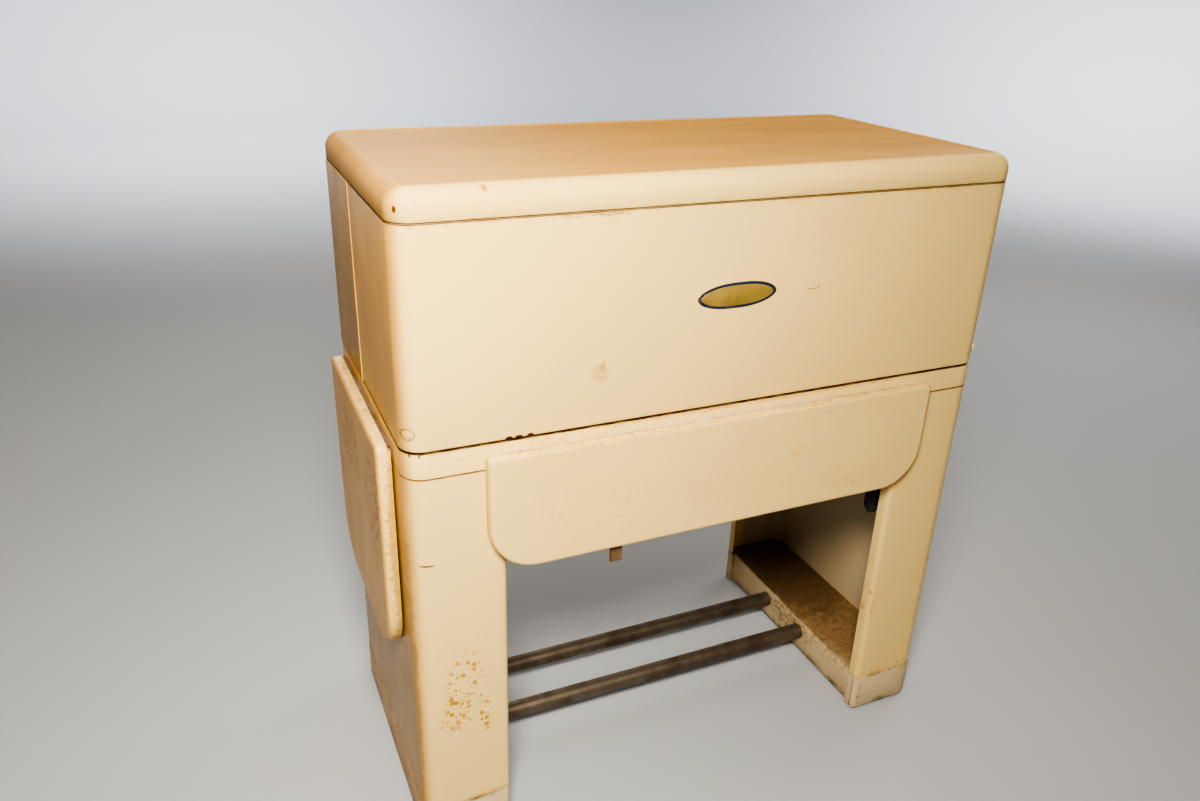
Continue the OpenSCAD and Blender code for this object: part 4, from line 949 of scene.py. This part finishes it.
back_mesh = plaque(0.056, 0.0165, hi.y + 0.0002, hi.y - 0.0005, 0.0002)
face_mesh = plaque(0.051, 0.0130, hi.y - 0.0004, hi.y - 0.0008, 0.0003)
piece("badge_back", *back_mesh, "hood", navy, "badge_metal", replaces=("hood_badge",))
piece("badge_face", *face_mesh, "hood", gold, "badge_metal")

# ---- roll ------------------------------------------------------------------------------
lo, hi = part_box("roll_cover")
ry, rz, rr = (lo.y + hi.y) / 2, (lo.z + hi.z) / 2, (hi.z - lo.z) / 2


ROLL_SIDES = 96


def revolve(profile, wobble):
    """Turns (x, radius) points about the roll's axis; wobble gives each point a small shift."""
    rows = []
    for x, r in profile:
        row = []
        for k in range(ROLL_SIDES):
            a = 2 * math.pi * k / ROLL_SIDES
            dx, dr = wobble(x, r, a)
            row.append((x + dx, ry + (r + dr) * math.cos(a), rz + (r + dr) * math.sin(a)))
        rows.append(row)
    return stacked(rows)


def cloth_wobble(x, r, a):
    """Gathers on the tucked-in end, and a faint unevenness on the rest."""
    if r < rr - 0.001:
        t = (rr - r) / 0.036
        return 0.0009 * math.sin(26 * a + 2.0 * math.sin(3 * a)) * min(1.0, t * 2), 0.0
    n = noise.noise(Vector((x * 9, 3 * math.cos(a), 3 * math.sin(a))))
    m = noise.noise(Vector((x * 60, 1.5 * math.cos(a) + 7, 1.5 * math.sin(a))))
    return 0.0, -0.00025 - 0.00018 * n - 0.00016 * m


def felt_wobble(x, r, a):
    """A faint unevenness, always inwards."""
    return 0.0, -0.0002 - 0.0002 * noise.noise(Vector((x * 20, 4 * math.cos(a), 4 * math.sin(a))))


profile = [(lo.x + 0.0012, rr - 0.036 + 0.004 * k) for k in range(9)]
profile += [(lo.x + 0.0014, rr - 0.0012), (lo.x + 0.0022, rr - 0.0003)]
profile += [(lo.x + 0.004 + (hi.x - lo.x - 0.005) * k / 60, rr) for k in range(61)]
cover = piece("roll_cloth", *revolve(profile, cloth_wobble), "roll", cover_cloth, "cover_cloth",
              sharp=70, replaces=("roll_cover",))
lo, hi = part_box("roll_padding")
pr = (hi.z - lo.z) / 2
pad_profile = [(lo.x + 0.0010, pr - 0.0118), (lo.x + 0.0006, pr - 0.006), (lo.x + 0.0010, pr - 0.001),
               (lo.x + 0.003, pr - 0.0003)]
pad_profile += [(lo.x + 0.003 + (hi.x - lo.x - 0.006) * k / 30, pr - 0.0003) for k in range(1, 31)]
pad_profile += [(hi.x - 0.0010, pr - 0.001), (hi.x - 0.0006, pr - 0.006), (hi.x - 0.0010, pr - 0.0118)]
v, f = revolve(pad_profile, felt_wobble)
last = (len(pad_profile) - 1) * ROLL_SIDES
for k in range(ROLL_SIDES):
    l = (k + 1) % ROLL_SIDES
    f.append((k, last + k, last + l, l))
pad = piece("roll_felt", v, f, "roll", felt, "padding", sharp=60, replaces=("roll_padding",))

# ---- floor and light ----------------------------------------------------------------------
BACKDROP_R, CURVE_R, BACKDROP_H = 9.0, 2.5, 4.5


def backdrop():
    """A round studio floor that curves up into a wall all the way round."""
    profile = [(r, 0.0) for r in (0.0001, 0.3, 0.8, 1.6, 3.2, 5.0, BACKDROP_R - CURVE_R)]
    for degrees in range(6, 91, 6):
        a = math.radians(degrees)
        profile.append((BACKDROP_R - CURVE_R + CURVE_R * math.sin(a), CURVE_R - CURVE_R * math.cos(a)))
    profile.append((BACKDROP_R, BACKDROP_H))
    n = 96
    rows = [[(r * math.cos(2 * math.pi * k / n), r * math.sin(2 * math.pi * k / n), z) for k in range(n)]
            for r, z in profile]
    verts, faces = stacked(rows, fill_first=True)
    mesh = bpy.data.meshes.new("floor")
    mesh.from_pydata(verts, [], [tuple(reversed(f)) for f in faces])
    mesh.shade_smooth()
    obj = bpy.data.objects.new("floor", mesh)
    bpy.context.scene.collection.objects.link(obj)
    p = Paint("pale_floor")
    tone = p.mix(p.times(p.noise(6.0, 5.0), 0.05), (0.46, 0.48, 0.52), (0.36, 0.36, 0.37))
    rough = p.ramp(p.noise(30.0), 0.78, 0.92)
    mesh.materials.append(p.done(tone, rough, p.bump(p.noise(180.0), 0.04), specular=0.15))
    obj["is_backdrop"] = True


backdrop()
world = bpy.data.worlds.new("studio")
bpy.context.scene.world = world
world.use_nodes = True
background = world.node_tree.nodes["Background"]
background.inputs["Color"].default_value = (1.0, 0.87, 0.70, 1.0)
background.inputs["Strength"].default_value = 0.19


def light(name, place, target, size, watts, colour, spread=180.0):
    """A disc light at a place, turned towards a target."""
    data = bpy.data.lights.new(name, "AREA")
    data.shape = "DISK"
    data.size = size
    data.energy = watts
    data.color = colour
    data.spread = math.radians(spread)
    obj = bpy.data.objects.new(name, data)
    bpy.context.scene.collection.objects.link(obj)
    obj.location = place
    obj.rotation_mode = "QUATERNION"
    obj.rotation_quaternion = (target - place).to_track_quat("-Z", "Y")


# The key stands a little above the camera, like the photograph's flash.
light("key", C(-190, -860, 1480), C(0, 0, 600), 0.40, 18.8, (1.0, 0.93, 0.80), spread=120.0)
light("soft_top", C(500, 700, 3200), C(420, 200, 500), 2.2, 14.0, (1.0, 0.90, 0.74))
light("right_fill", C(3200, 1400, 1800), C(700, 250, 450), 1.6, 22.0, (1.0, 0.95, 0.88))
light("back_fill", C(500, 3300, 2300), C(420, 300, 500), 1.8, 22.0, (1.0, 0.95, 0.88))
# These two light the backdrop behind the object, which the photograph shows white at the top.
light("backdrop_left", C(300, 3000, 4600), C(300, 7600, 200), 3.0, 190.0, (0.98, 0.99, 1.0), spread=80.0)
light("backdrop_right", C(3400, 1700, 4600), C(6900, 4700, 200), 3.0, 190.0, (0.98, 0.99, 1.0), spread=80.0)

lo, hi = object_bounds()
